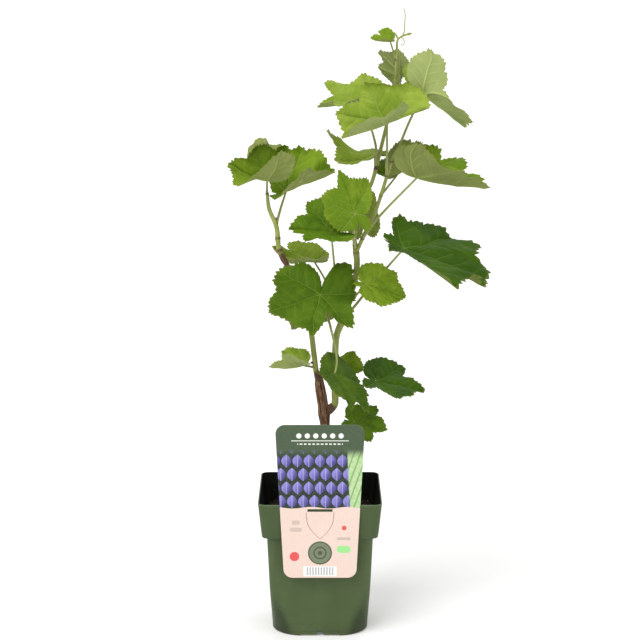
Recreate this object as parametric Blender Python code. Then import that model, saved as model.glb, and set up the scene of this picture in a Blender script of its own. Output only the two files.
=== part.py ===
"""A young potted grapevine: square nursery pot, soil, hang card, woody stem, green shoots and leaves.

Sizes are in millimetres and become metres when a mesh is made. X runs to the right, Y to the
back and Z up. The origin is the centre of the pot's flat underside.
"""

import math

import bpy
import numpy as np

MM = 0.001
GAP = 0.3

# Pot
POT_HEIGHT = 153.0
RIM_HALF = 67.0
RIM_BAND = 39.0
BAND_FOOT_HALF = 63.0
BODY_TOP_HALF = 57.7
BASE_HALF = 52.5
WALL = 1.6
FLOOR = 4.1
EDGE = 1.5
TOP_CORNER = 8.0
RIM_CORNER = 9.0
BASE_CORNER = 33.0
CORNER_START = 60.0
CORNER_STEPS = (12.0, 25.0, 40.0, CORNER_START)
CORNER_SEGMENTS = 5
FOOT_CHANNEL = (44.0, 30.0, 1.7)  # width, reach in from the side, height
DRAIN_NOTCH = (9.0, 12.0, 5.4)
CUT_PAST = 10.0

# Soil
SOIL_TOP = 124.0
SOIL_SHOULDER = (60.0, 54.0)  # half widths, 2 mm below the top and at it
SOIL_DIP = 2.0
SOIL_MOUND = 3.0
MOUND_HALF = 24.0

# Hang card
CARD_TOP = 242.0
CARD_BOTTOM = 72.0
CARD_TOP_HALF = 47.5
CARD_BOTTOM_HALF = 39.5
CARD_CORNER = 10.0
CARD_THICK = 0.8
SLOT = (27.0, 3.0)
SLOT_DEPTH = 4.0  # below the top of the rim
HOOK_HALF = 12.0
HOOK_DROP = 22.0
HOOK_THICK = 1.0
HOOK_PLAY = 0.4
JOIN = 0.2

# Leaf pattern: share of the leaf's length at each angle from the midrib, from tip to leaf base
OUTLINE = (
    (0, 1.00), (10, 0.91), (20, 0.85), (31, 0.80), (41, 0.87), (52, 0.95), (64, 0.88),
    (76, 0.82), (88, 0.79), (100, 0.83), (113, 0.85), (127, 0.80), (141, 0.73),
    (154, 0.61), (167, 0.44), (180, 0.15),
)
RINGS = (0.5, 1.0)
LEAF_THICK = 1.0
STALK_SIDES = 6
STALK_RADII = (1.5, 1.0)

LEAF_GREEN = (0.13, 0.27, 0.03)
SHOOT_GREEN = (0.30, 0.35, 0.10)
BARK_BROWN = (0.12, 0.055, 0.03)

# Shoots from foot to tip: the shoot that carries each, the height of its foot there (none at the
# carrier's tip), the foot's radius and the points (x, y, z, radius) that it runs through
SHOOTS = {
    "trunk": (None, None, None, (
        (7, 2, 0, 9.0), (7, 2, 133, 7.0), (6.5, 2, 146, 6.0), (6, 1, 180, 5.6),
        (5, 0, 232, 5.4), (1, -1, 262, 5.6), (-1, -1, 276, 5.0),
    )),
    "left_shoot": ("trunk", None, 3.6, (
        (-4, -1, 285, 3.1), (-6, -1, 300, 3.0), (-10, -2, 332, 2.9), (-18, -2, 367, 2.8),
        (-34, 0, 400, 2.7), (-44, 2, 419, 2.7), (-47, 4, 444, 2.5), (-55, 6, 464, 2.2),
        (-57, 8, 480, 1.7),
    )),
    "main_shoot": ("trunk", 236, 3.8, (
        (16, 0.8, 248, 3.8), (16.5, 1, 262, 3.8), (16.5, 2, 298, 3.6), (18.5, 2, 326, 3.6),
        (25, 2, 343, 3.9), (31, 2, 364, 3.2), (38, 2, 386, 3.3), (40, 2, 406, 3.4),
        (38, 3, 425, 3.0),
    )),
    "leader": ("main_shoot", None, 2.5, (
        (37, 4, 435, 2.4), (43, 5, 465, 2.2), (56, 6, 493, 2.1), (65, 8, 527, 2.0),
        (72, 10, 556, 1.8), (80, 12, 590, 1.6), (81, 12, 612, 1.4), (82, 12, 638, 1.2),
    )),
    "side_shoot": ("main_shoot", 416, 2.1, (
        (46, -1, 433, 2.1), (59, -5, 461, 2.0), (67, -9, 486, 1.9), (76, -12, 517, 1.8),
    )),
    "shoot_tip": ("leader", None, 1.15, (
        (83, 12, 644.5, 1.1), (87.5, 11, 648, 1.0), (92.5, 10, 649.8, 1.1), (94.8, 10, 650.4, 1.5),
        (96.8, 10, 650.9, 0.9),
    )),
}
# Tendril and side bud that stand on the shoot tip
SPRIGS = (
    ((87.5, 11, 648, 0.7), (89.4, 11, 652, 0.6), (90.2, 12, 662, 0.55), (90.3, 13, 672, 0.5),
     (89, 14, 678, 0.4)),
    ((83, 12, 644.5, 0.8), (81.4, 12, 648.5, 1.0), (79.5, 12, 651, 0.8), (77.5, 12, 652.4, 0.4)),
)
SHOOT_SIDES = 8
TRUNK_SIDES = 12
SPAN_STEPS = 3
TIP_STUB = 2.5


def leaf(name, at, size, aim, arch, left, right, stalk, spin=0, width=1.0, ruffle=2.0, notches=()):
    """One leaf: where its stalk meets the blade, its length from there to the tip, how its fold line
    is aimed (angle seen from the front, lean towards the front, turn about itself), how its base and
    its tip bend up, each half's fold at the base and the tip and its curl, the stalk's shoot, height
    and way, the midrib's angle to the fold line, and cuts in the outline."""
    return {
        "name": name, "at": at, "size": size, "aim": aim, "arch": arch, "left": left,
        "right": right, "stalk": stalk, "spin": spin, "width": width, "ruffle": ruffle,
        "notches": notches,
    }


SHORT_BASE = ((150, 60, 0.5), (-150, 60, 0.5))
CUT_BASE = ((150, 70, 0.75), (-150, 70, 0.75))
LEAVES = (
    leaf("leaf_tip", (75, 16, 642), 22, (172, 0, -78), (0, 20), (20, 10, 0), (30, 30, 0),
         ("leader", 622), notches=CUT_BASE),
    leaf("leaf_top_small", (86, 28, 607), 36, (128, 0, -165), (0, 0), (40, 55, 0), (25, 45, 0),
         ("leader", 574, (86, 22, 590)), width=0.9, ruffle=1.0, notches=CUT_BASE),
    leaf("leaf_top_right", (109, -3, 587), 58, (-33, 0, 95), (10, -10), (30, 20, 0), (85, 8, 45),
         ("side_shoot", None, (84, -11, 533), (95, -9, 559)), notches=((75, 50, 0.4), (-62, 30, 0.5))),
    leaf("leaf_crown", (71, -17, 557), 57, (197, 0, -85), (0, 5), (22, 22, 0), (70, 65, 10),
         ("side_shoot", 500, (71, -20, 530)), spin=-30),
    leaf("leaf_crown_back", (45, 42, 576), 48, (185, 0, -80), (0, 5), (20, 10, 10), (40, 30, 10),
         ("leader", 508, (60, 3, 530), (54, 24, 553)), width=0.8),
    leaf("leaf_crown_under", (60, 40, 519), 62, (188, 0, -87), (0, 75), (10, -30, 0), (0, 5, 10),
         ("leader", 505), width=0.5, notches=CUT_BASE),
    leaf("leaf_right_back", (84, 26, 498), 44, (35, -30, 100), (50, 0), (45, 40, 0), (50, 40, 0),
         ("side_shoot", 480), notches=SHORT_BASE),
    leaf("leaf_right_upper", (103, -18, 500), 77, (-11, 5, 90), (85, 10), (38, 38, 0), (50, 20, 10),
         ("side_shoot", 431, (57, -11, 450), (72, -17, 468)), width=0.8),
    leaf("leaf_far_left", (-57, 5, 494), 50, (160, -10, -75), (20, 20), (55, 5, 10), (66, 78, 30),
         ("left_shoot", None), width=1.1),
    leaf("leaf_left_upper", (-37, 26, 480), 58, (24, 0, 78), (85, 0), (45, 45, 0), (10, 25, 0),
         ("left_shoot", 446, (-43, 14, 462)), notches=SHORT_BASE),
    leaf("leaf_middle_left", (12, -20, 443), 46, (178, 0, -82), (0, 0), (0, 0, 0), (52, 52, 0),
         ("main_shoot", 350, (19, 6, 374), (15, 3, 408))),
    leaf("leaf_middle_front", (37, -38, 464), 49, (110, -8, 0), (0, 10), (10, 0, -20), (0, -10, -20),
         ("main_shoot", 420, (36, -24, 444)), width=0.78,
         notches=((140, 60, 0.5), (-110, 60, 0.7), (-15, 14, 0.1), (18, 14, 0.15))),
    leaf("leaf_middle_back", (46, 24, 452), 42, (98, 0, 180), (0, 0), (10, 10, 0), (10, 10, 0),
         ("leader", 434, (43, 14, 444)), width=0.55),
    leaf("leaf_left_middle", (-6, 34, 401), 52, (170, 0, -86), (70, 0), (35, -5, 0), (32, 36, 0),
         ("main_shoot", 338, (14, 13, 364), (5, 24, 384)), width=0.6),
    leaf("leaf_big_front", (0, -25, 375), 56, (256, 38, 0), (0, -10), (0, 0, 0), (0, 0, 0),
         ("left_shoot", 345, (-5, -12, 360)), width=1.1,
         notches=((28, 26, 0.6), (85, 45, 0.3), (168, 30, -0.8), (-5, 20, 0.18), (-75, 45, -0.08))),
    leaf("leaf_far_right", (89, -38, 427), 98, (-19, 0, 76), (60, -10), (20, 10, 0), (12, 11, 0),
         ("main_shoot", 343, (38, 6, 357), (54, 12, 376), (75, 1, 403)), width=0.9,
         notches=((135, 60, 0.6), (-140, 65, 0.7), (75, 14, 0.25), (30, 10, 0.15))),
    leaf("leaf_right_middle", (50, -14, 385), 46, (-3, 0, 30), (20, 0), (20, 10, 0), (0, -10, 0),
         ("main_shoot", 357, (39, -7, 371)), width=0.65,
         notches=((150, 70, 0.75), (-125, 75, 0.75))),
    leaf("leaf_low_left", (-18, -10, 294), 43, (195, 0, -86), (0, 30), (15, 15, 0), (15, 15, 0),
         ("left_shoot", 290), notches=CUT_BASE),
    leaf("leaf_low_front", (16, -44, 293), 58, (-43, 0, 74), (40, -10), (0, 0, 0), (0, 0, 0),
         ("left_shoot", 372, (2, -12, 361), (14, -28, 329), (18, -38, 305)), width=0.8,
         notches=SHORT_BASE),
    leaf("leaf_low_right", (62, 12, 272), 51, (-12, 0, 78), (65, 0), (15, 10, 0), (0, 0, 0),
         ("main_shoot", 258, (30, 4, 262), (48, 9, 268)), notches=SHORT_BASE),
    leaf("leaf_low_back", (-12, 34, 352), 50, (245, -35, -160), (0, 20), (10, 5, 0), (10, 5, 0),
         ("left_shoot", 322, (-12, 16, 342))),
    leaf("leaf_back_low", (24, 31, 288), 28, (284, 25, 0), (0, 20), (10, 5, 0), (10, 5, 0),
         ("main_shoot", 281, (20, 15, 285))),
    leaf("leaf_foot", (37, -12, 232), 38, (-10, 5, 70), (50, 0), (10, 10, 0), (0, -10, 0),
         ("trunk", 215, (27, -4, 225)), notches=SHORT_BASE),
)


def outline_radius(row, angle):
    """Distance from the stalk to the blade's edge at an angle in degrees from the midrib."""
    ends = np.array(OUTLINE, float)
    share = np.interp(np.abs(angle), ends[:, 0], ends[:, 1])
    for middle, half, depth in row["notches"]:
        share = share * (1 - depth * np.clip(1 - np.abs(angle - middle) / half, 0, 1))
    return share * row["size"]


def unit(v):
    v = np.asarray(v, float)
    return v / np.linalg.norm(v)


def leaf_axes(aim):
    """Midrib, left and face directions of a leaf."""
    turn, lean, roll = (math.radians(a) for a in aim)
    along = np.array((math.cos(turn) * math.cos(lean), -math.sin(lean), math.sin(turn) * math.cos(lean)))
    front = np.array((0.0, -1.0, 0.0))
    face = unit(front - front.dot(along) * along)
    left = np.cross(face, along)
    face = math.cos(roll) * face + math.sin(roll) * left
    return along, np.cross(face, along), face


def bend(length, start, turn):
    """Run and rise after a length along an arc that starts at one slope and turns evenly (turn per mm)."""
    turn = np.where(np.abs(turn) < 1e-7, 1e-7, turn)
    run = (np.sin(start + turn * length) - np.sin(start)) / turn
    rise = (np.cos(start) - np.cos(start + turn * length)) / turn
    return run, rise


def ease(x):
    x = np.clip(x, 0, 1)
    return x * x * (3 - 2 * x)


def leaf_surface(row, angle, share):
    """Points of the blade's middle surface at angles (degrees) and shares of the outline radius."""
    size = row["size"]
    reach = outline_radius(row, angle) * share
    turned = np.radians(angle + row["spin"])
    u = reach * np.cos(turned)
    v = reach * np.sin(turned) * row["width"]
    towards_tip = ease((u / size + 0.45) / 1.1)
    sides = np.array((row["left"], row["right"]), float)
    side = np.where(v >= 0, 0, 1)
    fold = sides[side, 0] + (sides[side, 1] - sides[side, 0]) * towards_tip
    out, up = bend(np.abs(v), np.radians(fold), np.radians(sides[side, 2]) / size)
    back, front = np.radians(row["arch"])
    turn = np.where(u < 0, back, front) / size
    run, rise = bend(np.abs(u), 0.0, turn)
    slope = turn * np.abs(u)
    phase = sum(map(ord, row["name"])) % 7
    up = up + row["ruffle"] * (reach / size) ** 2 * np.sin(5 * np.radians(angle) + phase)
    along, left, face = leaf_axes(row["aim"])
    way = np.sign(u) * (run - up * np.sin(slope))
    high = rise + up * np.cos(slope)
    return (
        np.array(row["at"], float)
        + way[..., None] * along
        + (np.sign(v) * out)[..., None] * left
        + high[..., None] * face
    )


def curve(points, steps):
    """Points along a smooth curve through the given ones, with any extra columns carried alongside."""
    points = np.asarray(points, float)
    ends = np.vstack((2 * points[0] - points[1], points, 2 * points[-1] - points[-2]))
    spans = np.linalg.norm(np.diff(ends[:, :3], axis=0), axis=1) ** 0.5
    found = []
    for k in range(1, len(points)):
        before, start, end, after = ends[k - 1 : k + 3]
        a, b, c = spans[k - 1 : k + 2]
        step = end - start
        leave = (start - before) * b / a - (end - before) * b / (a + b) + step
        arrive = step - (after - start) * b / (b + c) + (after - end) * b / c
        for t in np.linspace(0, 1, steps, endpoint=False):
            share = t * t * (3 - 2 * t)
            found.append(start + share * step + t * (1 - t) * ((1 - t) * leave - t * arrive))
    found.append(points[-1])
    return np.array(found)


def axis_at(path, height):
    """Centre, radius and direction of a shoot where it passes a height."""
    step = int(np.clip(np.searchsorted(path[:, 2], height), 1, len(path) - 1))
    low, high = path[step - 1], path[step]
    spot = low + (high - low) * (height - low[2]) / (high[2] - low[2])
    return spot[:3], spot[3], unit(high[:3] - low[:3])


def foot_on(path, height, towards, radius):
    """First points of a limb with a round foot, clear of the shoot that carries it by GAP."""
    if height is None:
        way = unit(path[-1, :3] - path[-2, :3])
        return [path[-1, :3] + GAP * way, path[-1, :3] + TIP_STUB * way]
    centre, thick, way = axis_at(path, height)
    aim = unit(np.asarray(towards, float) - centre)
    along = abs(aim.dot(way))
    across = math.sqrt(1 - along * along)
    return [centre + aim * (thick + GAP + radius * along) / across]


def shoot_path(name):
    """Centre line and radius along a shoot, from its foot."""
    carrier, height, radius, points = SHOOTS[name]
    if carrier is None:
        rows = [(*points[0][:2], SOIL_TOP + SOIL_MOUND + GAP, points[0][3]), *points[1:]]
        return curve(rows, SPAN_STEPS)
    foot = foot_on(shoot_path(carrier), height, points[0][:3], radius)
    start = [(*spot, radius) for spot in foot]
    return curve([*start, *points], SPAN_STEPS)


def stalk_path(row):
    """Centre line and radius along a leaf's stalk, from its foot into the blade."""
    carrier, height, *way = row["stalk"]
    first = way[0] if way else row["at"]
    scale = 0.6 + 0.4 * min(row["size"] / 50, 1.2)
    foot_radius, top_radius = (r * scale for r in STALK_RADII)
    foot = foot_on(shoot_path(carrier), height, first, foot_radius)
    line = curve([*foot, *way, row["at"]], 2)
    radii = np.linspace(foot_radius, top_radius, len(line))
    return np.column_stack((line, radii))


def tube(path, sides):
    """Points and faces of a closed tube along a path of centres and radii."""
    centres, radii = path[:, :3], path[:, 3]
    ways = np.gradient(centres, axis=0)
    ways[0] = centres[1] - centres[0]
    side = unit(np.cross(unit(ways[0]), (0.31, 0.95, 0.05)))
    turns = np.linspace(0, 2 * math.pi, sides, endpoint=False)
    points = []
    for centre, radius, way in zip(centres, radii, ways):
        way = unit(way)
        side = unit(side - side.dot(way) * way)
        other = np.cross(way, side)
        points += [centre + radius * (math.cos(t) * side + math.sin(t) * other) for t in turns]
    faces = [tuple(reversed(range(sides)))]
    for ring in range(len(path) - 1):
        start = ring * sides
        for k in range(sides):
            after = (k + 1) % sides
            faces.append((start + k, start + after, start + sides + after, start + sides + k))
    last = (len(path) - 1) * sides
    faces.append(tuple(range(last, last + sides)))
    return np.array(points), faces


def blade(row):
    """Points and faces of a leaf's blade: two skins round its middle surface."""
    marks = [a for a, _ in OUTLINE[:-1]] + [-a for a, _ in OUTLINE[1:]]
    for line in (-row["spin"], 180 - row["spin"]):
        line = (line + 180) % 360 - 180
        if min(abs(line - mark) for mark in marks) > 5 and abs(line) < 175:
            marks.append(line)
    angles = np.array(sorted(marks), float)
    count = len(angles)
    middle = [leaf_surface(row, np.zeros(1), np.zeros(1))]
    middle += [leaf_surface(row, angles, np.full(count, ring)) for ring in RINGS]
    middle = np.vstack(middle)
    skin = [(0, 1 + k, 1 + (k + 1) % count) for k in range(count)]
    for ring in range(len(RINGS) - 1):
        start = 1 + ring * count
        for k in range(count):
            after = (k + 1) % count
            skin.append((start + k, start + count + k, start + count + after))
            skin.append((start + k, start + count + after, start + after))
    offset = 0.5 * LEAF_THICK * skin_normals(middle, skin)
    points = np.vstack((middle + offset, middle - offset))
    total = len(middle)
    faces = list(skin)
    faces += [tuple(total + i for i in reversed(face)) for face in skin]
    rim = total - count
    for k in range(count):
        after = (k + 1) % count
        faces.append((rim + after, rim + k, total + rim + k))
        faces.append((rim + after, total + rim + k, total + rim + after))
    return points, faces


def skin_normals(points, faces):
    """Normals at the points of an open skin, lengthened where it folds so that its thickness holds."""
    corners = points[np.array(faces)]
    normals = np.cross(corners[:, 1] - corners[:, 0], corners[:, 2] - corners[:, 0])
    normals /= np.linalg.norm(normals, axis=1)[:, None]
    total = np.zeros_like(points)
    for corner in range(3):
        np.add.at(total, np.array(faces)[:, corner], normals)
    total /= np.linalg.norm(total, axis=1)[:, None]
    lean = np.ones(len(points))
    for corner in range(3):
        at = np.array(faces)[:, corner]
        np.minimum.at(lean, at, np.abs(np.einsum("ij,ij->i", total[at], normals)))
    return total / np.maximum(lean, 0.6)[:, None]


def material(name, colour, roughness, metallic=0.0):
    """A plain surface."""
    made = bpy.data.materials.get(name) or bpy.data.materials.new(name)
    made.use_nodes = True
    shader = made.node_tree.nodes["Principled BSDF"]
    shader.inputs["Base Color"].default_value = (*colour, 1.0)
    shader.inputs["Roughness"].default_value = roughness
    shader.inputs["Metallic"].default_value = metallic
    return made


def solid(name, shape, surface):
    """An object from points in millimetres and faces."""
    points, faces = shape
    mesh = bpy.data.meshes.new(name)
    mesh.from_pydata([tuple(p) for p in np.asarray(points, float) * MM], [], faces)
    mesh.materials.append(surface)
    mesh.shade_smooth()
    mesh.set_sharp_from_angle(angle=math.radians(40))
    made = bpy.data.objects.new(name, mesh)
    bpy.context.scene.collection.objects.link(made)
    return made


def settle(target):
    """Keep an object's evaluated mesh and drop its modifiers."""
    bpy.context.view_layer.update()
    graph = bpy.context.evaluated_depsgraph_get()
    mesh = bpy.data.meshes.new_from_object(target.evaluated_get(graph))
    target.modifiers.clear()
    target.data = mesh


def boolean(target, others, operation):
    """Join others to an object, or cut them from it, and remove them."""
    helpers = bpy.data.collections.new("helpers")
    bpy.context.scene.collection.children.link(helpers)
    for other in others:
        bpy.context.scene.collection.objects.unlink(other)
        helpers.objects.link(other)
    change = target.modifiers.new(operation.title(), "BOOLEAN")
    change.operation = operation
    change.operand_type = "COLLECTION"
    change.collection = helpers
    change.solver = "EXACT"
    settle(target)
    for other in others:
        bpy.data.objects.remove(other)
    bpy.data.collections.remove(helpers)


def rounded_square(half, corner, height):
    """Points round a square with rounded corners."""
    points = []
    for quarter in range(4):
        start = quarter * math.pi / 2
        sx, sy = ((1, 1), (-1, 1), (-1, -1), (1, -1))[quarter]
        for k in range(CORNER_SEGMENTS + 1):
            turn = start + k * math.pi / 2 / CORNER_SEGMENTS
            points.append((
                sx * (half - corner) + corner * math.cos(turn),
                sy * (half - corner) + corner * math.sin(turn),
                height,
            ))
    return points


def loft(rings):
    """Points and faces of a closed stack of rings, the first facing down and the last up."""
    count = len(rings[0])
    points = [p for ring in rings for p in ring]
    faces = [tuple(reversed(range(count)))]
    for ring in range(len(rings) - 1):
        start = ring * count
        for k in range(count):
            after = (k + 1) % count
            faces.append((start + k, start + after, start + count + after, start + count + k))
    last = (len(rings) - 1) * count
    faces.append(tuple(range(last, last + count)))
    return points, faces


def body_half(height):
    """Half the pot body's width at a height."""
    share = height / (POT_HEIGHT - RIM_BAND)
    return BASE_HALF + (BODY_TOP_HALF - BASE_HALF) * share


def body_corner(height):
    """Radius of the pot body's corners, which open out towards the base."""
    return TOP_CORNER + (BASE_CORNER - TOP_CORNER) * ease(1 - height / CORNER_START)


def pot_profile():
    """The pot's outside then inside, as heights, half widths and corner radii."""
    band = POT_HEIGHT - RIM_BAND
    steps = (EDGE, *CORNER_STEPS, band - 1.0)
    body = [(z, body_half(z), body_corner(z)) for z in steps]
    outside = [
        (0.0, BASE_HALF - EDGE, BASE_CORNER),
        *body,
        (band, BAND_FOOT_HALF - 0.4 * EDGE, RIM_CORNER - 2),
        (band + 0.7 * EDGE, BAND_FOOT_HALF, RIM_CORNER - 1),
        (POT_HEIGHT - EDGE, RIM_HALF, RIM_CORNER),
        (POT_HEIGHT, RIM_HALF - 0.3 * EDGE, RIM_CORNER),
    ]
    inside = [
        (POT_HEIGHT, RIM_HALF - WALL, RIM_CORNER - WALL),
        (band + 2.5, BAND_FOOT_HALF - WALL, RIM_CORNER - 1 - WALL),
        *((z, half - WALL, corner - 1) for z, half, corner in reversed(body[1:])),
        (FLOOR, body_half(FLOOR) - WALL, body_corner(FLOOR) - 1),
    ]
    return outside, inside


def box(name, low, high, surface):
    """A block between two corners."""
    ring = [(0, 0), (1, 0), (1, 1), (0, 1)]
    rings = [
        [(low[0] + i * (high[0] - low[0]), low[1] + j * (high[1] - low[1]), z) for i, j in ring]
        for z in (low[2], high[2])
    ]
    return solid(name, loft(rings), surface)


def make_pot():
    surface = material("pot_green", (0.075, 0.12, 0.05), 0.5)
    outside, inside = pot_profile()
    rings = [rounded_square(half, corner, z) for z, half, corner in outside + inside]
    pot = solid("pot", loft(rings), surface)
    wide, deep, high = FOOT_CHANNEL
    hole, reach, rise = DRAIN_NOTCH
    cuts = []
    for quarter in range(4):
        for name, half, inner, top in (
            ("channel", wide / 2, BASE_HALF - deep, high),
            ("notch", hole / 2, BASE_HALF - reach, rise),
        ):
            cut = box(name, (-half, inner, -CUT_PAST), (half, BASE_HALF + CUT_PAST, top), surface)
            cut.rotation_euler.z = quarter * math.pi / 2
            cuts.append(cut)
    boolean(pot, cuts, "DIFFERENCE")


def make_soil():
    surface = material("soil", (0.035, 0.022, 0.015), 0.95)
    inset = WALL + GAP
    heights = (FLOOR + GAP, *CORNER_STEPS, POT_HEIGHT - RIM_BAND - EDGE)
    rings = [rounded_square(body_half(z) - inset, body_corner(z) - 1 - GAP, z) for z in heights]
    low, high = SOIL_SHOULDER
    rings.append(rounded_square(low - inset, TOP_CORNER, SOIL_TOP - SOIL_DIP))
    rings.append(rounded_square(high - inset, TOP_CORNER - 2, SOIL_TOP))
    rings.append(rounded_square(MOUND_HALF, MOUND_HALF / 2, SOIL_TOP + SOIL_MOUND))
    solid("root_ball", loft(rings), surface)


def card_outline():
    """The card's outline, seen from the front: a tall plate, wider at the top, with round corners."""
    corners = (
        (CARD_TOP_HALF, CARD_TOP, 0), (-CARD_TOP_HALF, CARD_TOP, 1),
        (-CARD_BOTTOM_HALF, CARD_BOTTOM, 2), (CARD_BOTTOM_HALF, CARD_BOTTOM, 3),
    )
    points = []
    for x, z, quarter in corners:
        cx = x - math.copysign(CARD_CORNER, x)
        cz = z - CARD_CORNER if quarter < 2 else z + CARD_CORNER
        for k in range(CORNER_SEGMENTS + 1):
            turn = (quarter + k / CORNER_SEGMENTS) * math.pi / 2
            points.append((cx + CARD_CORNER * math.cos(turn), cz + CARD_CORNER * math.sin(turn)))
    return points


def make_card():
    surface = material("card", (0.55, 0.45, 0.38), 0.45)
    back = -(RIM_HALF + GAP)
    front = back - CARD_THICK
    outline = card_outline()
    rings = [[(x, y, z) for x, z in outline] for y in (back, front)]
    card = solid("hang_card", loft(rings), surface)
    low = POT_HEIGHT + GAP
    high = low + HOOK_THICK
    leg = -(BAND_FOOT_HALF - WALL) - HOOK_PLAY
    hook = [
        box("arm", (-HOOK_HALF, front + JOIN, low), (HOOK_HALF, leg + HOOK_THICK, high), surface),
        box("leg", (-HOOK_HALF, leg, low - HOOK_DROP), (HOOK_HALF, leg + HOOK_THICK, high - JOIN), surface),
    ]
    boolean(card, hook, "UNION")
    wide, tall = SLOT
    top = POT_HEIGHT - SLOT_DEPTH
    slot = box("slot", (-wide / 2, front - CUT_PAST, top - tall), (wide / 2, back + JOIN, top), surface)
    boolean(card, [slot], "DIFFERENCE")


def make_shoots():
    bark = material("bark", BARK_BROWN, 0.85)
    green = material("shoot_green", SHOOT_GREEN, 0.55)
    for name in SHOOTS:
        sides, surface = (TRUNK_SIDES, bark) if name == "trunk" else (SHOOT_SIDES, green)
        made = solid(name, tube(shoot_path(name), sides), surface)
    sprigs = [solid("sprig", tube(curve(points, 2), STALK_SIDES), green) for points in SPRIGS]
    boolean(made, sprigs, "UNION")


def make_leaves():
    surface = material("leaf_green", LEAF_GREEN, 0.5)
    for row in LEAVES:
        made = solid(row["name"], blade(row), surface)
        stalk = solid("stalk", tube(stalk_path(row), STALK_SIDES), surface)
        boolean(made, [stalk], "UNION")


def main():
    for old in list(bpy.data.objects):
        bpy.data.objects.remove(old)
    make_pot()
    make_soil()
    make_card()
    make_shoots()
    make_leaves()


if __name__ == "__main__":
    main()
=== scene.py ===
"""Dresses the potted grapevine: pot, potting mix, hang card, woody stem, green shoots and leaves.

Tables are in millimetres and degrees, in the frame of the solids: X to the right, Y to the back
and Z up from the pot's underside. A mesh is made in metres.
"""

from math import ceil, cos, exp, hypot, pi, radians, sin, sqrt
from types import SimpleNamespace

import bmesh
import bpy
import numpy as np
from mathutils import Matrix, Vector, noise


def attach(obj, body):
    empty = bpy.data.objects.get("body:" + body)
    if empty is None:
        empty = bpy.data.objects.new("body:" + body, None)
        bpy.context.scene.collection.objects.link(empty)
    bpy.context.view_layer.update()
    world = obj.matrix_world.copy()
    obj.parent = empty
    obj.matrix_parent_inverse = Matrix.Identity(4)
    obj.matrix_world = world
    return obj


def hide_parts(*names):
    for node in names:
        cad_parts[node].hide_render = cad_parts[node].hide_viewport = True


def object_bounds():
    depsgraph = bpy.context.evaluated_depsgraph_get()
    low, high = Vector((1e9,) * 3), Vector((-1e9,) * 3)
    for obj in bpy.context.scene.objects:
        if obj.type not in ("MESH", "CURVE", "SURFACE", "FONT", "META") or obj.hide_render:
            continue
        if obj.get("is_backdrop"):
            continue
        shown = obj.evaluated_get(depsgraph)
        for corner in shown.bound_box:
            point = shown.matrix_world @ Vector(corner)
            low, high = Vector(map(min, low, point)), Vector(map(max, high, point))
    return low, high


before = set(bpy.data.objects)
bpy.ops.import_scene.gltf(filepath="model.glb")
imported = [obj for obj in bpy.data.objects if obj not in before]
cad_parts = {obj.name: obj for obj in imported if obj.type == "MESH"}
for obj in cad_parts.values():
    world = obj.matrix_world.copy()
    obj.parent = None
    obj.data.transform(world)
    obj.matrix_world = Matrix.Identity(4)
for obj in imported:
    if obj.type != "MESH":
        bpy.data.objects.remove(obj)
SOLID_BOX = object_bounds()

bl_info = {
    "name": "Potted grapevine",
    "version": (1, 0, 0),
    "blender": (4, 5, 0),
    "location": "View3D > Sidebar > Grapevine",
    "description": "Makes the finished pieces of a young potted grapevine",
    "category": "Add Mesh",
}

MM = 0.001
TO_MM = (1 / MM,) * 3
GAP = 0.3

# Pot, in the same sizes as its solid
POT_HEIGHT = 153.0
RIM_HALF = 67.0
RIM_BAND = 39.0
BAND_FOOT = POT_HEIGHT - RIM_BAND
BAND_FOOT_HALF = 63.0
BODY_TOP_HALF = 57.7
BASE_HALF = 52.5
WALL = 1.6
FLOOR = 4.1
EDGE = 1.5
TOP_CORNER = 8.0
RIM_CORNER = 9.0
BASE_CORNER = 33.0
CORNER_START = 60.0
CORNER_SEGMENTS = 16
SIDE_STEPS = 1 - 2 * np.array((0.17, 0.33, 0.5, 0.67, 0.83))
# Foot cuts: width, depth, height
FOOT_CHANNEL = (44.0, 30.0, 1.7)
DRAIN_NOTCH = (9.0, 12.0, 5.4)
NOTCH_TAPER = 0.62
FOOT_RECESS = (42.0, 0.6, 5.8)
CUT_PAST = 10.0

# Potting mix
SOIL_TOP = 124.0
SOIL_MOUND = 3.0
SOIL_DIP = 2.0
SOIL_HALF = 58.0
SOIL_ROUGH = 1.1
# Loose matter: how many a square metre, smallest and largest half sizes, roughness, seed
STREWN = (
    ("mix_crumbs", 178000, (0.0004, 0.0004, 0.0003), (0.0016, 0.0015, 0.0011), 0.0009, 3),
    ("mix_chips", 14000, (0.0012, 0.0006, 0.0003), (0.0042, 0.0020, 0.0008), 0.0008, 11),
    ("mix_grains", 6500, (0.0005, 0.0005, 0.0004), (0.0014, 0.0013, 0.0011), 0.0005, 17),
)
TURN_SEED = 5
CRUMB_GRAIN = 900.0

# Hang card
CARD_TOP = 242.0
CARD_BOTTOM = 72.0
CARD_TOP_HALF = 47.5
CARD_BOTTOM_HALF = 39.5
CARD_CORNER = 10.0
CARD_THICK = 0.8
CARD_FACE = -(RIM_HALF + GAP + CARD_THICK)
SLOT = (27.0, 3.0)
SLOT_DEPTH = 4.0
HOOK_HALF = 12.0
HOOK_DROP = 22.0
HOOK_THICK = 1.0
HOOK_PLAY = 0.4
SOFT_EDGE = 0.16

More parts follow.
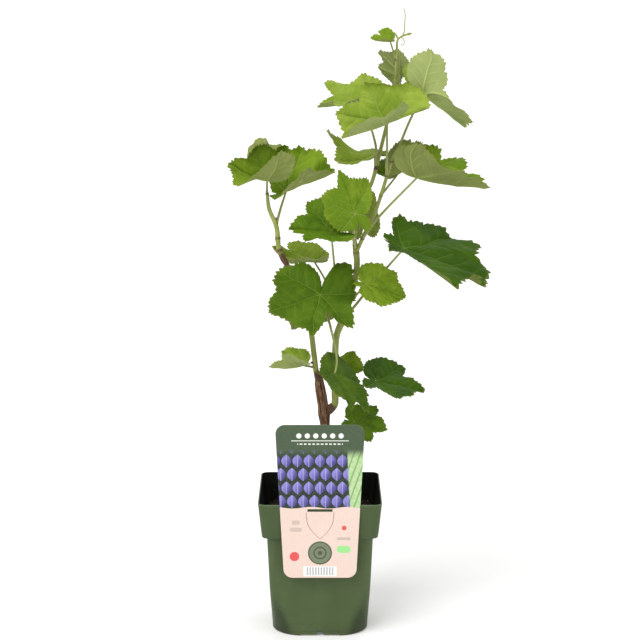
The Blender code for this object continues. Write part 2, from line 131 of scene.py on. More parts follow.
# Leaf pattern: share of the leaf's length at each angle from the midrib, from tip to leaf base
OUTLINE = (
    (0, 1.00), (10, 0.91), (20, 0.85), (31, 0.80), (41, 0.87), (52, 0.95), (64, 0.88),
    (76, 0.82), (88, 0.79), (100, 0.83), (113, 0.85), (127, 0.80), (141, 0.73),
    (154, 0.61), (167, 0.44), (180, 0.15),
)
RING_STEP = 0.034
COARSE_TO = 0.30
MIDDLE_TO = 0.60
TOOTH_PITCH = 5.2
TOOTH_STEPS = 6
TOOTH_HEIGHT = 0.066
MAIN_VEINS = (0.0, 52.0, 113.0)
SECTORS = (26.0, 82.5)
SIDE_PITCH = 0.17
SIDE_LEAN = 0.80
SIDE_CURVE = 0.35
SIDE_SHIFT = 0.27
PUCKER = 0.008
ARCH = 0.12
FRILL = 0.026
STALK_RADII = (1.5, 1.0)

# Stage
FLOOR_REACH = 40000.0
CAMERA_LENS = 105.2
CAMERA_PLACE = (0.0, -2.0, 0.727)
CAMERA_DOWN = 10.88
# Lamps: way to each, spread, and strength as a share of the key's
LAMPS = (
    ("key", (-0.55, -0.72, 1.0), 42, 1.0),
    ("fill", (0.9, -0.7, 0.6), 60, 0.3),
    ("back", (0.2, 0.9, 1.0), 50, 0.35),
)

# Stem and shoots
TIP_STUB = 2.5
TRUNK_SIDES = 112
TRUNK_RING = 0.9

SHOOTS = {
    "trunk": (None, None, None, (
        (7, 2, 0, 9.0), (7, 2, 133, 7.0), (6.5, 2, 146, 6.0), (6, 1, 180, 5.6),
        (5, 0, 232, 5.4), (1, -1, 262, 5.6), (-1, -1, 276, 5.0),
    )),
    "left_shoot": ("trunk", None, 3.6, (
        (-4, -1, 285, 3.1), (-6, -1, 300, 3.0), (-10, -2, 332, 2.9), (-18, -2, 367, 2.8),
        (-34, 0, 400, 2.7), (-44, 2, 419, 2.7), (-47, 4, 444, 2.5), (-55, 6, 464, 2.2),
        (-57, 8, 480, 1.7),
    )),
    "main_shoot": ("trunk", 236, 3.8, (
        (16, 0.8, 248, 3.8), (16.5, 1, 262, 3.8), (16.5, 2, 298, 3.6), (18.5, 2, 326, 3.6),
        (25, 2, 343, 3.9), (31, 2, 364, 3.2), (38, 2, 386, 3.3), (40, 2, 406, 3.4),
        (38, 3, 425, 3.0),
    )),
    "leader": ("main_shoot", None, 2.5, (
        (37, 4, 435, 2.4), (43, 5, 465, 2.2), (56, 6, 493, 2.1), (65, 8, 527, 2.0),
        (72, 10, 556, 1.8), (80, 12, 590, 1.6), (81, 12, 612, 1.4), (82, 12, 638, 1.2),
    )),
    "side_shoot": ("main_shoot", 416, 2.1, (
        (46, -1, 433, 2.1), (59, -5, 461, 2.0), (67, -9, 486, 1.9), (76, -12, 517, 1.8),
    )),
    "shoot_tip": ("leader", None, 1.15, (
        (83, 12, 644.5, 1.1), (87.5, 11, 648, 1.0), (92.5, 10, 649.8, 1.1), (94.8, 10, 650.4, 1.5),
        (96.8, 10, 650.9, 0.9),
    )),
}
# Tendril and side bud on the shoot tip
SPRIGS = (
    ((87.5, 11, 648, 0.7), (89.4, 11, 652, 0.6), (90.2, 12, 662, 0.55), (90.3, 13, 672, 0.5),
     (89, 14, 677.5, 0.4)),
    ((83, 12, 644.5, 0.8), (81.4, 12, 648.5, 1.0), (79.5, 12, 651, 0.8), (77.5, 12, 652.4, 0.4)),
)
# Second arm of the tendril, which hangs and curls, with how brown it is
CURL = (
    (86.4, 11.5, 646.6, 0.6, 0.2), (88.5, 9.5, 645.2, 0.5, 0), (89.6, 8.8, 641.5, 0.45, 0),
    (88.2, 9.2, 638.4, 0.4, 0), (86.6, 9.8, 638.9, 0.35, 0), (86.4, 10, 640.4, 0.3, 0),
)
# A bud's girth along it
BUD_GIRTHS = (
    (0, 0.55), (0.12, 0.85), (0.3, 1.0), (0.5, 0.92), (0.7, 0.66), (0.86, 0.36), (1, 0.08),
)
# Brown joints on the shoots: shoot, height, half length, strength
JOINTS = (
    ("left_shoot", 279, 9, 1.0), ("left_shoot", 409, 9, 0.9), ("left_shoot", 419, 2.5, 0.8),
    ("left_shoot", 432, 2.5, 0.6), ("main_shoot", 243, 5, 1.0), ("main_shoot", 286, 2.5, 0.5),
    ("main_shoot", 343, 4, 0.7), ("main_shoot", 416, 3, 0.5), ("leader", 470, 3, 0.5),
    ("leader", 508, 4, 0.8), ("leader", 574, 2.5, 0.5), ("leader", 622, 2, 0.5),
    ("side_shoot", 480, 2.5, 0.5),
)


def leaf(name, tone, shade, at, size, aim, arch, left, right, stalk, spin=0, width=1.0, ruffle=2.0,
         notches=(), hems=(), waves=()):
    """One leaf: its green and its shade, where its stalk meets the blade, its length from there to
    the tip, how its fold line is aimed (angle seen from the front, lean towards the front, turn
    about itself), how its base and its tip bend up, each half's fold at the base and the tip and its
    curl, the stalk's shoot, height and way, the midrib's angle to the fold line, cuts in the
    outline, hems that roll over (angle, half width, where they start, turn) and waves (angle, half
    width, lift)."""
    return SimpleNamespace(**locals(), seed=sum(map(ord, name)) % 97)


SHORT_BASE = ((150, 60, 0.5), (-150, 60, 0.5))
CUT_BASE = ((150, 70, 0.75), (-150, 70, 0.75))
# The number after each leaf's green is the share of that green its painted shade keeps, for how deep
# the leaf stands among the others.
LEAVES = (
    leaf("leaf_tip", "bright", 1.0, (75, 16, 642), 22, (180, 0, -70), (0, 20), (35, 25, 0), (30, 30, 0),
         ("leader", 622), notches=(*CUT_BASE, (25, 14, 0.3), (-30, 14, 0.3))),
    leaf("leaf_top_small", "young", 0.82, (86, 28, 607), 34, (132, 0, -165), (0, 0), (52, 62, 0),
         (30, 42, 0), ("leader", 574, (86, 22, 590)), width=0.9, ruffle=1.0, notches=(*CUT_BASE,
         (-30, 14, 0.14))),
    leaf("leaf_top_right", "young", 1.0, (109, -3, 587), 58, (-33, 0, 95), (10, -10), (30, 20, 0),
         (85, 8, 45), ("side_shoot", None, (84, -11, 533), (95, -9, 559)), notches=((80, 44, 0.3),
         (-60, 28, 0.5), (-24, 18, -0.3), (-86, 16, 0.2)), waves=((-95, 26, 0.1), (-125, 24, -0.1),
         (30, 16, 0.05), (52, 14, -0.06))),
    leaf("leaf_crown", "young", 0.93, (71, -17, 557), 57, (200, 0, -85), (0, 5), (22, 22, 0),
         (70, 70, 10), ("side_shoot", 500, (71, -20, 530)), spin=-30, notches=((142, 46, -0.55),
         (-152, 40, -0.3), (-28, 13, 0.16), (-48, 18, 0.08)), hems=((-84, 50, 0.8, 55),),
         waves=((-28, 20, -0.15), (-2, 22, 0.09), (-64, 26, 0.09))),
    leaf("leaf_crown_back", "young", 0.95, (45, 42, 576), 48, (185, 0, -80), (0, 5), (20, 10, 10),
         (40, 30, 10), ("leader", 508, (60, 3, 530), (54, 24, 553)), width=0.8,
         notches=((-44, 20, -0.28), (-22, 12, 0.2), (-96, 14, -0.16)), waves=((-70, 20, -0.08),)),
    leaf("leaf_crown_under", "young", 0.8, (60, 40, 519), 62, (188, 0, -87), (0, 75), (10, -30, 0),
         (0, 5, 10), ("leader", 505), width=0.5, notches=(*CUT_BASE, (-62, 16, 0.3)),
         waves=((-60, 24, -0.08),)),
    leaf("leaf_right_back", "bright", 0.9, (84, 26, 498), 44, (35, -30, 100), (50, 0), (45, 40, 0),
         (50, 40, 0), ("side_shoot", 480), notches=SHORT_BASE),
    leaf("leaf_right_upper", "bright", 0.9, (103, -18, 500), 77, (-11, 5, 90), (85, 10), (38, 38, 0),
         (50, 20, 10), ("side_shoot", 431, (57, -11, 450), (72, -17, 468)), width=0.8,
         notches=((62, 14, 0.3), (-62, 12, 0.2), (24, 10, 0.2)), hems=((92, 30, 0.82, 60),),
         waves=((-100, 20, 0.1), (-128, 16, -0.1), (-76, 18, -0.07), (-48, 20, 0.05))),
    leaf("leaf_far_left", "bright", 0.9, (-57, 5, 494), 47, (169, -10, -75), (20, 20), (74, -5, 10),
         (62, 72, 20), ("left_shoot", None), width=1.1, notches=((-70, 66, -0.36), (-30, 12, 0.12),
         (142, 34, -0.35), (78, 34, 0.35)), hems=((-70, 60, 0.72, 175),), waves=((-36, 18, -0.05),
         (-100, 20, -0.05))),
    leaf("leaf_left_upper", "bright", 1.0, (-37, 26, 480), 58, (24, 0, 78), (85, 0), (45, 45, 0),
         (10, 30, 0), ("left_shoot", 446, (-43, 14, 462)), notches=(*SHORT_BASE, (28, 22, -0.24),
         (44, 8, 0.1)), hems=((58, 34, 0.84, 50),), waves=((44, 14, -0.08), (72, 20, 0.06),
         (16, 16, 0.05), (-55, 20, 0.08))),
    leaf("leaf_middle_left", "middle", 1.0, (12, -20, 443), 46, (178, 0, -82), (0, 0), (0, 0, 0),
         (52, 52, 0), ("main_shoot", 350, (19, 6, 374), (15, 3, 408)), notches=((-35, 14, 0.15),
         (28, 12, 0.12)), waves=((0, 24, 0.05), (-70, 22, 0.06), (45, 20, -0.06))),
    leaf("leaf_middle_front", "bright", 0.82, (37, -38, 464), 49, (110, -8, 0), (0, 10), (10, 0, -20),
         (0, -10, -20), ("main_shoot", 420, (36, -24, 444)), width=0.78, notches=((140, 60, 0.5),
         (-110, 60, 0.7), (-15, 14, 0.1), (18, 14, 0.2), (62, 12, 0.1)), waves=((62, 26, 0.06),
         (20, 20, -0.08), (-45, 22, -0.05))),
    leaf("leaf_middle_back", "middle", 1.0, (46, 24, 452), 42, (98, 0, 180), (0, 0), (10, 10, 0),
         (10, 10, 0), ("leader", 434, (43, 14, 444)), width=0.55),
    leaf("leaf_left_middle", "young", 0.92, (-6, 34, 401), 52, (170, 0, -86), (70, 0), (35, -5, 0),
         (32, 36, 0), ("main_shoot", 338, (14, 13, 364), (5, 24, 384)), width=0.6, notches=(*SHORT_BASE,
         (-32, 14, 0.2)), hems=((4, 30, 0.6, 70), (60, 30, 0.8, 60)), waves=((-60, 22, 0.08),
         (-35, 16, -0.06))),
    leaf("leaf_big_front", "middle", 0.8, (0, -25, 375), 56, (256, 38, 0), (0, -10), (0, 0, 0),
         (0, 0, 0), ("left_shoot", 345, (-5, -12, 360)), width=1.1, notches=((28, 26, 0.6),
         (85, 45, 0.3), (168, 30, -0.8), (-5, 20, 0.18), (-75, 45, -0.08), (118, 26, 0.16),
         (-78, 13, 0.13), (-128, 12, 0.08)), waves=((-128, 26, 0.05), (-40, 22, 0.05), (-78, 20, -0.04),
         (110, 30, -0.05))),
    leaf("leaf_far_right", "dark", 0.97, (89, -38, 427), 98, (-19, 0, 76), (60, -10), (20, 10, 0),
         (12, 11, 0), ("main_shoot", 343, (38, 6, 357), (54, 12, 376), (75, 1, 403)), width=0.9,
         notches=((135, 60, 0.6), (-140, 65, 0.7), (76, 14, 0.25), (141, 18, 0.4), (92, 13, 0.25),
         (18, 16, -0.22), (38, 11, -0.26), (56, 12, 0.12), (-95, 35, 0.3), (-28, 14, -0.14),
         (158, 14, 0.3)), waves=((-30, 16, 0.03), (50, 20, 0.03))),
    leaf("leaf_right_middle", "bright", 0.9, (50, -14, 385), 46, (-19, -3, 30), (20, 0), (20, 10, 0),
         (0, -10, 0), ("main_shoot", 357, (39, -7, 371)), width=0.7, notches=((150, 70, 0.6),
         (-125, 75, 0.75), (-58, 26, 0.26), (62, 14, 0.1)), waves=((60, 24, 0.06), (-30, 20, 0.05))),
    leaf("leaf_low_left", "young", 0.95, (-18, -10, 294), 38, (192, 0, -82), (0, 25), (18, 54, 0),
         (22, 22, 0), ("left_shoot", 290), notches=(*CUT_BASE, (-28, 14, 0.25), (22, 12, 0.2)),
         waves=((-65, 22, 0.08),)),
    leaf("leaf_low_front", "middle", 0.68, (16, -44, 293), 58, (-43, 0, 74), (40, -10), (0, 0, 0),
         (0, 0, 0), ("left_shoot", 372, (2, -12, 361), (14, -28, 329), (18, -38, 305)), width=0.8,
         notches=(*SHORT_BASE, (42, 12, 0.12), (-38, 12, 0.12)), waves=((-60, 20, 0.05),)),
    leaf("leaf_low_right", "dark", 1.0, (62, 12, 272), 51, (-12, 0, 78), (65, 0), (15, 10, 0),
         (0, 0, 0), ("main_shoot", 258, (30, 4, 262), (48, 9, 268)), notches=(*SHORT_BASE,
         (34, 13, 0.16), (-90, 42, 0.55), (-28, 12, -0.12), (-46, 10, 0.12), (3, 12, -0.1),
         (150, 22, -0.25)), waves=((60, 20, 0.06), (-30, 20, 0.04))),
    leaf("leaf_low_back", "dark", 1.0, (-12, 34, 352), 50, (245, -35, -160), (0, 20), (10, 5, 0),
         (10, 5, 0), ("left_shoot", 322, (-12, 16, 342)), waves=((-60, 22, 0.06), (60, 22, 0.06))),
    leaf("leaf_back_low", "bright", 0.78, (24, 31, 288), 28, (290, 25, 0), (0, 20), (10, 5, 0),
         (10, 5, 0), ("main_shoot", 281, (20, 15, 285)), notches=((150, 56, 0.55), (96, 14, 0.15)),
         waves=((90, 24, 0.08),)),
    leaf("leaf_foot", "middle", 0.85, (37, -12, 232), 38, (-10, 5, 70), (50, 0), (10, 10, 0),
         (0, -10, 0), ("trunk", 215, (27, -4, 225)), notches=(*SHORT_BASE, (32, 12, 0.14),
         (-30, 12, 0.14), (95, 30, 0.15), (-92, 42, 0.3)), waves=((-60, 22, 0.06), (60, 22, 0.06))),
)
# Which leaves are joined into each piece
LEAF_PIECES = {
    "leaves_top": LEAVES[:6],
    "leaves_upper": LEAVES[6:12],
    "leaves_middle": LEAVES[12:17],
    "leaves_low": LEAVES[17:],
}


def rgb(red, green, blue):
    """A colour given by its screen values, as the light that a shader counts in."""
    share = np.array((red, green, blue)) / 255
    light = np.where(share <= 0.04045, share / 12.92, ((share + 0.055) / 1.055) ** 2.4)
    return tuple(float(c) for c in light)


def tinted(colour, share):
    return tuple(share * c for c in colour)


# Upper face, its darker blotches, underside, and veins, for each green
TONES = {
    "young": (rgb(164, 186, 72), rgb(132, 160, 44), rgb(160, 174, 106), rgb(200, 212, 130)),
    "bright": (rgb(136, 164, 40), rgb(102, 136, 22), rgb(146, 158, 90), rgb(180, 196, 102)),
    "middle": (rgb(102, 136, 26), rgb(74, 108, 14), rgb(122, 138, 62), rgb(146, 170, 70)),
    "dark": (rgb(68, 102, 14), rgb(48, 80, 6), rgb(106, 124, 56), rgb(114, 144, 52)),
}


# ---------------------------------------------------------------- nodes


class Value:
    """A number in a node tree that sums can be written with: each operation adds its Math node.
    The methods named after numpy's functions let numpy work on it as on an array."""

    def __init__(self, book, socket):
        self.book, self.socket = book, socket

    def rise(self, start, end, low=0.0, high=1.0):
        """A smooth step from low at start to high at end."""
        return self.book.add("ShaderNodeMapRange", {"interpolation_type": "SMOOTHSTEP"}, {
            "Value": self, "From Min": start, "From Max": end, "To Min": low, "To Max": high,
        })


def sum_method(operation, swapped):
    def method(self, *others):
        return self.book.math(operation, *((*others, self) if swapped else (self, *others)))

    return method


for operation, methods in {
    "ADD": "__add__ __radd__", "SUBTRACT": "__sub__ __rsub__", "MULTIPLY": "__mul__ __rmul__",
    "DIVIDE": "__truediv__", "POWER": "__pow__", "FLOORED_MODULO": "__mod__",
    "GREATER_THAN": "__gt__", "LESS_THAN": "__lt__", "ABSOLUTE": "__abs__", "FLOOR": "floor",
    "SQRT": "sqrt", "SINE": "sin", "COSINE": "cos", "ARCTAN2": "arctan2", "MAXIMUM": "max",
    "MINIMUM": "min",
}.items():
    for name in methods.split():
        setattr(Value, name, sum_method(operation, name.startswith("__r")))


class Book:
    """A node tree, with one way to add a node: its type, then its settings, then its sockets."""

    def __init__(self, tree):
        self.tree = tree

    def add(self, kind, settings=None, sockets=None, output=0):
        """Adds a node and gives one of its outputs."""
        made = self.tree.nodes.new(kind)
        for key, value in (settings or {}).items():
            setattr(made, key, value)
        for key, value in (sockets or {}).items():
            self.put(value, made.inputs[key])
        return Value(self, made.outputs[output])

    def put(self, value, socket):
        """Links a value into a socket, or sets the socket to a constant."""
        if isinstance(value, Value):
            self.tree.links.new(value.socket, socket)
        else:
            socket.default_value = value

    def math(self, operation, *values):
        return self.add("ShaderNodeMath", {"operation": operation}, dict(enumerate(values)))

    def vector_math(self, operation, *values):
        return self.add("ShaderNodeVectorMath", {"operation": operation}, dict(enumerate(values)))


class Finish(Book):
    """A material, made from noise, cells and masks that follow the piece."""

    def __init__(self, name, specular, **constants):
        self.material = bpy.data.materials.new(name)
        self.material.use_nodes = True
        super().__init__(self.material.node_tree)
        self.shade(specular_ior_level=specular, **constants)

    def shade(self, **values):
        """Gives the shader constants, or what changes over the surface."""
        for key, value in values.items():
            key = key.replace("_", " ").title().replace("Ior", "IOR")
            self.put(value, self.tree.nodes["Principled BSDF"].inputs[key])

    def done(self, colour, roughness, height, distance, strength):
        """Gives the shader its colour, roughness and relief. The material is then ready."""
        relief = {"Height": height, "Distance": distance, "Strength": strength}
        self.shade(base_color=colour, roughness=roughness,
                   normal=self.add("ShaderNodeBump", sockets=relief))
        return self.material

    def place(self):
        """Where a point is on the piece, in metres."""
        return self.add("ShaderNodeTexCoord", output="Object")

    def carried(self, name):
        """A number that the piece's points carry."""
        return self.add("ShaderNodeAttribute", {"attribute_name": name}, output="Fac")

    def parts(self, vector):
        """The three numbers of a vector."""
        first = self.add("ShaderNodeSeparateXYZ", sockets={0: vector})
        return [Value(self, out) for out in first.socket.node.outputs]

    def join(self, *numbers):
        return self.add("ShaderNodeCombineXYZ", sockets=dict(enumerate(numbers)))

    def stretched(self, vector, *scale):
        """A vector with each of its numbers multiplied."""
        return self.vector_math("MULTIPLY", vector, scale)

    def noise(self, vector, scale, detail=3.0, roughness=0.55, distortion=0.0):
        return self.add("ShaderNodeTexNoise", sockets={
            "Vector": vector, "Scale": scale, "Detail": detail, "Roughness": roughness,
            "Distortion": distortion,
        })

    def cells(self, vector, scale):
        """How far a point is from the nearest border between cells."""
        return self.add("ShaderNodeTexVoronoi", {"feature": "DISTANCE_TO_EDGE"},
                        {"Vector": vector, "Scale": scale})

    def blend(self, share, *colours):
        """The first colour, turning into the second as share rises to 1."""
        first, second = (c if isinstance(c, Value) else (*c, 1.0) for c in colours)
        return self.add("ShaderNodeMix", {"data_type": "RGBA"}, {0: share, 6: first, 7: second},
                        output=2)

    def coat(self, colour, *layers):
        """A colour under layers, each of them a mask and the colour that shows there."""
        for mask, over in layers:
            colour = self.blend(mask, colour, over)
        return colour


class Rule(Book):
    """A Geometry Nodes tree with named inputs."""

    def __init__(self, name, **inputs):
        super().__init__(bpy.data.node_groups.new(name, "GeometryNodeTree"))
        new_socket = self.tree.interface.new_socket
        self.names = {
            label: new_socket(label, in_out="INPUT", socket_type="NodeSocket" + kind).identifier
            for label, kind in {"Base": "Geometry", **inputs, "Material": "Material"}.items()
        }
        new_socket("Geometry", in_out="OUTPUT", socket_type="NodeSocketGeometry")
        given = self.tree.nodes.new("NodeGroupInput")
        self.input = {label: Value(self, given.outputs[label]) for label in self.names}

    def geo(self, kind, output=0, **sockets):
        """Adds a geometry node, its sockets given by their names."""
        named = {key.replace("_", " "): value for key, value in sockets.items()}
        return self.add("GeometryNode" + kind, None, named, output)

    def finish(self, geometry):
        """Ends the tree: instances made real, then the material."""
        real = self.geo("RealizeInstances", Geometry=geometry)
        clad = self.geo("SetMaterial", Geometry=real, Material=self.input["Material"])
        self.put(clad, self.tree.nodes.new("NodeGroupOutput").inputs[0])
        return self

    def grow(self, name, base, **values):
        """A plain mesh object that this tree makes from a base mesh."""
        made = link_object(name, base)
        change = made.modifiers.new("rule", "NODES")
        change.node_group = self.tree
        for label, value in values.items():
            change[self.names[label.capitalize()]] = value
        settle(made)
        return made


# ---------------------------------------------------------------- meshes


def link_object(name, mesh):
    made = bpy.data.objects.new(name, mesh)
    bpy.context.scene.collection.objects.link(made)
    return made


def settle(made):
    """Keeps an object's evaluated mesh and drops its modifiers."""
    bpy.context.view_layer.update()
    graph = bpy.context.evaluated_depsgraph_get()
    mesh = bpy.data.meshes.new_from_object(made.evaluated_get(graph))
    made.modifiers.clear()
    made.data = mesh
    mesh.name = made.name


def solid(name, points, triangles, materials, kinds=None, sharp=35):
    """A smooth mesh object from points in millimetres and triangles, each of one material."""
    triangles = np.asarray(triangles, int)
    mesh = bpy.data.meshes.new(name)
    mesh.vertices.add(len(points))
    mesh.vertices.foreach_set("co", np.ravel(points) * MM)
    mesh.loops.add(triangles.size)
    mesh.loops.foreach_set("vertex_index", triangles.ravel())
    mesh.polygons.add(len(triangles))
    mesh.polygons.foreach_set("loop_start", np.arange(0, triangles.size, 3))
    for material in materials:
        mesh.materials.append(material)
    if kinds is not None:
        mesh.polygons.foreach_set("material_index", kinds)
    mesh.update(calc_edges=True)
    mesh.validate()
    mesh.shade_smooth()
    mesh.set_sharp_from_angle(angle=radians(sharp))
    return link_object(name, mesh)


def carry(mesh, **values):
    """Gives each point of a mesh numbers that a material reads."""
    for name, numbers in values.items():
        mesh.attributes.new(name, "FLOAT", "POINT").data.foreach_set("value", numbers)


def ring_triangles(inner, outer):
    """Triangles between two closed rings of point numbers, the outer as long or twice as long."""
    after = np.roll(inner, -1)
    if len(inner) == len(outer):
        rows = (inner, outer, np.roll(outer, -1)), (inner, np.roll(outer, -1), after)
    else:
        even, odd = outer[::2], outer[1::2]
        rows = (inner, even, odd), (inner, odd, after), (after, odd, np.roll(even, -1))
    return np.concatenate([np.column_stack(row) for row in rows])


def fan(centre, ring):
    """Triangles from one point to a closed ring."""
    return np.column_stack((np.full(len(ring), centre), ring, np.roll(ring, -1)))


def stack(rings):
    """Points and triangles of a closed stack of like rings, the first facing down, the last up."""
    count, total = len(rings[0]), len(rings) * len(rings[0])
    points = np.vstack((*rings, np.mean(rings[0], axis=0), np.mean(rings[-1], axis=0)))
    rows = np.arange(total).reshape(-1, count)
    triangles = [ring_triangles(high, low) for low, high in zip(rows, rows[1:])]
    return points, np.concatenate(
        (*triangles, fan(total, rows[0][::-1]), fan(total + 1, rows[-1])))


def finish_piece(made, slot, *nodes):
    """The piece rides with the plant, takes its slot's finish and stands for its solids."""
    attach(made, "root")
    if nodes:
        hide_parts(*nodes)


def unit(v):
    v = np.asarray(v, float)
    return v / np.linalg.norm(v)


def unit_rows(v):
    return v / np.maximum(np.linalg.norm(v, axis=1), 1e-9)[:, None]


def ease(x):
    x = np.clip(x, 0, 1)
    return x * x * (3 - 2 * x)


def bell(x, half):
    return np.exp(-((x / half) ** 2))


# ---------------------------------------------------------------- limbs


def curve(points, step):
    """Points along a smooth curve through the given ones, about a step apart, with any extra
    columns carried alongside."""
    points = np.asarray(points, float)
    ends = np.vstack((2 * points[0] - points[1], points, 2 * points[-1] - points[-2]))
    lengths = np.linalg.norm(np.diff(ends[:, :3], axis=0), axis=1)
    spans = lengths**0.5
    found = []
    for k in range(1, len(points)):
        before, start, end, after = ends[k - 1 : k + 3]
        a, b, c = spans[k - 1 : k + 2]
        move = end - start
        leave = (start - before) * b / a - (end - before) * b / (a + b) + move
        arrive = move - (after - start) * b / (b + c) + (after - end) * b / c
        for t in np.linspace(0, 1, max(2, ceil(lengths[k] / step)), endpoint=False):
            found.append(start + ease(t) * move + t * (1 - t) * ((1 - t) * leave - t * arrive))
    return np.array([*found, points[-1]])


def axis_at(path, height):
    """Centre, radius and direction of a shoot where it passes a height."""
    step = int(np.clip(np.searchsorted(path[:, 2], height), 1, len(path) - 1))
    low, high = path[step - 1], path[step]
    spot = low + (high - low) * (height - low[2]) / (high[2] - low[2])
    return spot[:3], spot[3], unit(high[:3] - low[:3])


def foot_on(path, height, towards, radius):
    """First points of a limb on the shoot that carries it: sunk into it by half its radius."""
    if height is None:
        way = unit(path[-1, :3] - path[-2, :3])
        return [path[-1, :3] - way, path[-1, :3] + TIP_STUB * way]
    centre, thick, way = axis_at(path, height)
    aim = unit(np.subtract(towards, centre))
    along = abs(aim.dot(way))
    across = sqrt(1 - along * along)
    return [centre + aim * 0.5 * thick, centre + aim * (thick + GAP + radius * along) / across]


def shoot_path(name, step=1.2):
    """Centre line and radius along a shoot, from its foot."""
    carrier, height, radius, points = SHOOTS[name]
    if carrier is None:
        return curve([(*points[0][:2], SOIL_TOP - 4, points[0][3]), *points[1:]], step)
    foot = foot_on(shoot_path(carrier, step), height, points[0][:3], radius)
    return curve([*[(*spot, radius) for spot in foot], *points], step)


def stalk_path(row):
    """Centre line, radius and brown along a leaf's stalk, from its foot into the blade."""
    carrier, height, *way = row.stalk
    rows = (*way, row.at)
    scale = 0.6 + 0.4 * min(row.size / 50, 1.2)
    foot_radius, top_radius = (r * scale for r in STALK_RADII)
    foot = foot_on(shoot_path(carrier), height, rows[0], foot_radius)
    line = curve([*foot, *rows], 1.5)
    share = np.linspace(0, 1, len(line))
    radii = foot_radius + (top_radius - foot_radius) * share
    run = share * len(line)
    return np.column_stack((line, radii * (1 + 0.45 * bell(run, 2.2)), 0.7 * bell(run, 2.5)))


def with_joints(name, path):
    """A shoot's path with its joints swollen, and how brown it is along it."""
    brown, swell = np.zeros(len(path)), np.ones(len(path))
    for shoot, height, half, strength in JOINTS:
        if shoot == name:
            off = path[:, 2] - height
            brown = np.maximum(brown, strength * bell(off, half))
            swell += 0.3 * strength * bell(off, min(half, 4))
    return np.column_stack((path[:, :3], path[:, 3] * swell, brown))


def rounded_end(path):
    """A path whose last points close to a round end."""
    last, way = path[-1], unit(path[-1, :3] - path[-2, :3])
    rows = [path]
    for turn in np.radians((20, 40, 60, 75, 86)):
        spot = last[:3] + way * last[3] * sin(turn) * 1.1
        rows.append((*spot, last[3] * cos(turn), last[4]))
    return np.vstack(rows)


def lines_mesh(name, paths):
    """A mesh of bare lines that carry their radius and how brown they are."""
    points = np.concatenate(paths)
    after = np.cumsum([len(path) for path in paths])
    edges = [(k, k + 1) for k in range(len(points) - 1) if k + 1 not in after]
    mesh = bpy.data.meshes.new(name)
    mesh.from_pydata([tuple(p) for p in points[:, :3] * MM], edges, [])
    carry(mesh, girth=points[:, 3] * MM, brown=points[:, 4])
    return mesh


def limb_rule():
    """Geometry Nodes: a round limb of changing girth along every line of the base."""
    rule = Rule("limbs", Sides="Int")
    line = rule.geo("MeshToCurve", Mesh=rule.input["Base"])
    girth = rule.add("GeometryNodeInputNamedAttribute", {"data_type": "FLOAT"}, {"Name": "girth"})
    ring = rule.geo("CurvePrimitiveCircle", Resolution=rule.input["Sides"], Radius=1.0)
    skin = rule.geo("CurveToMesh", Curve=line, Profile_Curve=ring, Scale=girth, Fill_Caps=True)
    return rule.finish(rule.add("GeometryNodeSetShadeSmooth", sockets={0: skin}))


def strew_rule():
    """Geometry Nodes: rough crumbs strewn over the base."""
    rule = Rule("strewn", Density="Float", Smallest="Vector", Largest="Vector", Roughness="Float",
                Seed="Int")
    seed = rule.input["Seed"]

    def dealt(low, high, seed):
        return rule.add("FunctionNodeRandomValue", {"data_type": "FLOAT_VECTOR"},
                        {0: low, 1: high, "Seed": seed})

    spots = rule.geo("DistributePointsOnFaces", "Points", Mesh=rule.input["Base"],
                     Density=rule.input["Density"], Seed=seed)
    laid = rule.geo("InstanceOnPoints", Points=spots,
                    Instance=rule.geo("MeshIcoSphere", Radius=1.0, Subdivisions=2),
                    Rotation=dealt((-pi,) * 3, (pi,) * 3, TURN_SEED),
                    Scale=dealt(rule.input["Smallest"], rule.input["Largest"], seed))
    grain = rule.add("ShaderNodeTexNoise", output=1, sockets={
        "Vector": rule.geo("InputPosition"), "Scale": CRUMB_GRAIN,
    })
    shift = rule.add("ShaderNodeVectorMath", {"operation": "SCALE"}, {
        0: rule.vector_math("SUBTRACT", grain, (0.5,) * 3), "Scale": rule.input["Roughness"],
    })
    real = rule.geo("RealizeInstances", Geometry=laid)
    return rule.finish(rule.geo("SetPosition", Geometry=real, Offset=shift))


# ---------------------------------------------------------------- leaves


def outline_share(row, angle):
    """The blade's edge at angles from the midrib, as a share of the leaf's length."""
    share = np.interp(np.abs(angle), *zip(*OUTLINE))
    for middle, half, depth in row.notches:
        share = share * (1 - depth * np.clip(1 - np.abs(angle - middle) / half, 0, 1))
    return share


def toothed_edge(row, chance):
    """Angles round the leaf's edge and how far the teeth stand out at each, as shares of its length.
    Every tooth has its tip and both its feet on the list."""
    fine = np.linspace(-180, 180, 2881)
    reach = outline_share(row, fine) * row.size
    spots = np.column_stack((reach * np.cos(np.radians(fine)), reach * np.sin(np.radians(fine))))
    run = np.concatenate(([0], np.cumsum(np.linalg.norm(np.diff(spots, axis=0), axis=1))))
    half = run[len(run) // 2]
    pitch = TOOTH_PITCH * (row.size / 50) ** 0.5
    count = max(6, int(round(half / pitch)))
    found = []
    for side, length in ((0, half), (1, run[-1] - half)):
        steps = chance.uniform(0.75, 1.3, count)
        ends = np.concatenate(([0], np.cumsum(steps))) / steps.sum() * length
        tall = chance.uniform(0.45, 1.0, count) * np.where(np.arange(count) % 2, 0.7, 1.1)
        lean = chance.uniform(0.4, 0.62, count)
        for k in range(count):
            for f in np.arange(TOOTH_STEPS) / TOOTH_STEPS:
                way = f * 2 * lean[k] if f < 0.5 else lean[k] + (f - 0.5) * 2 * (1 - lean[k])
                spot = ends[k] + (ends[k + 1] - ends[k]) * way
                found.append((np.interp(spot + side * half, run, fine),
                              TOOTH_HEIGHT * tall[k] * ((1 - abs(2 * f - 1)) ** 0.85 - 0.45)))
    return np.array(sorted(found)).T


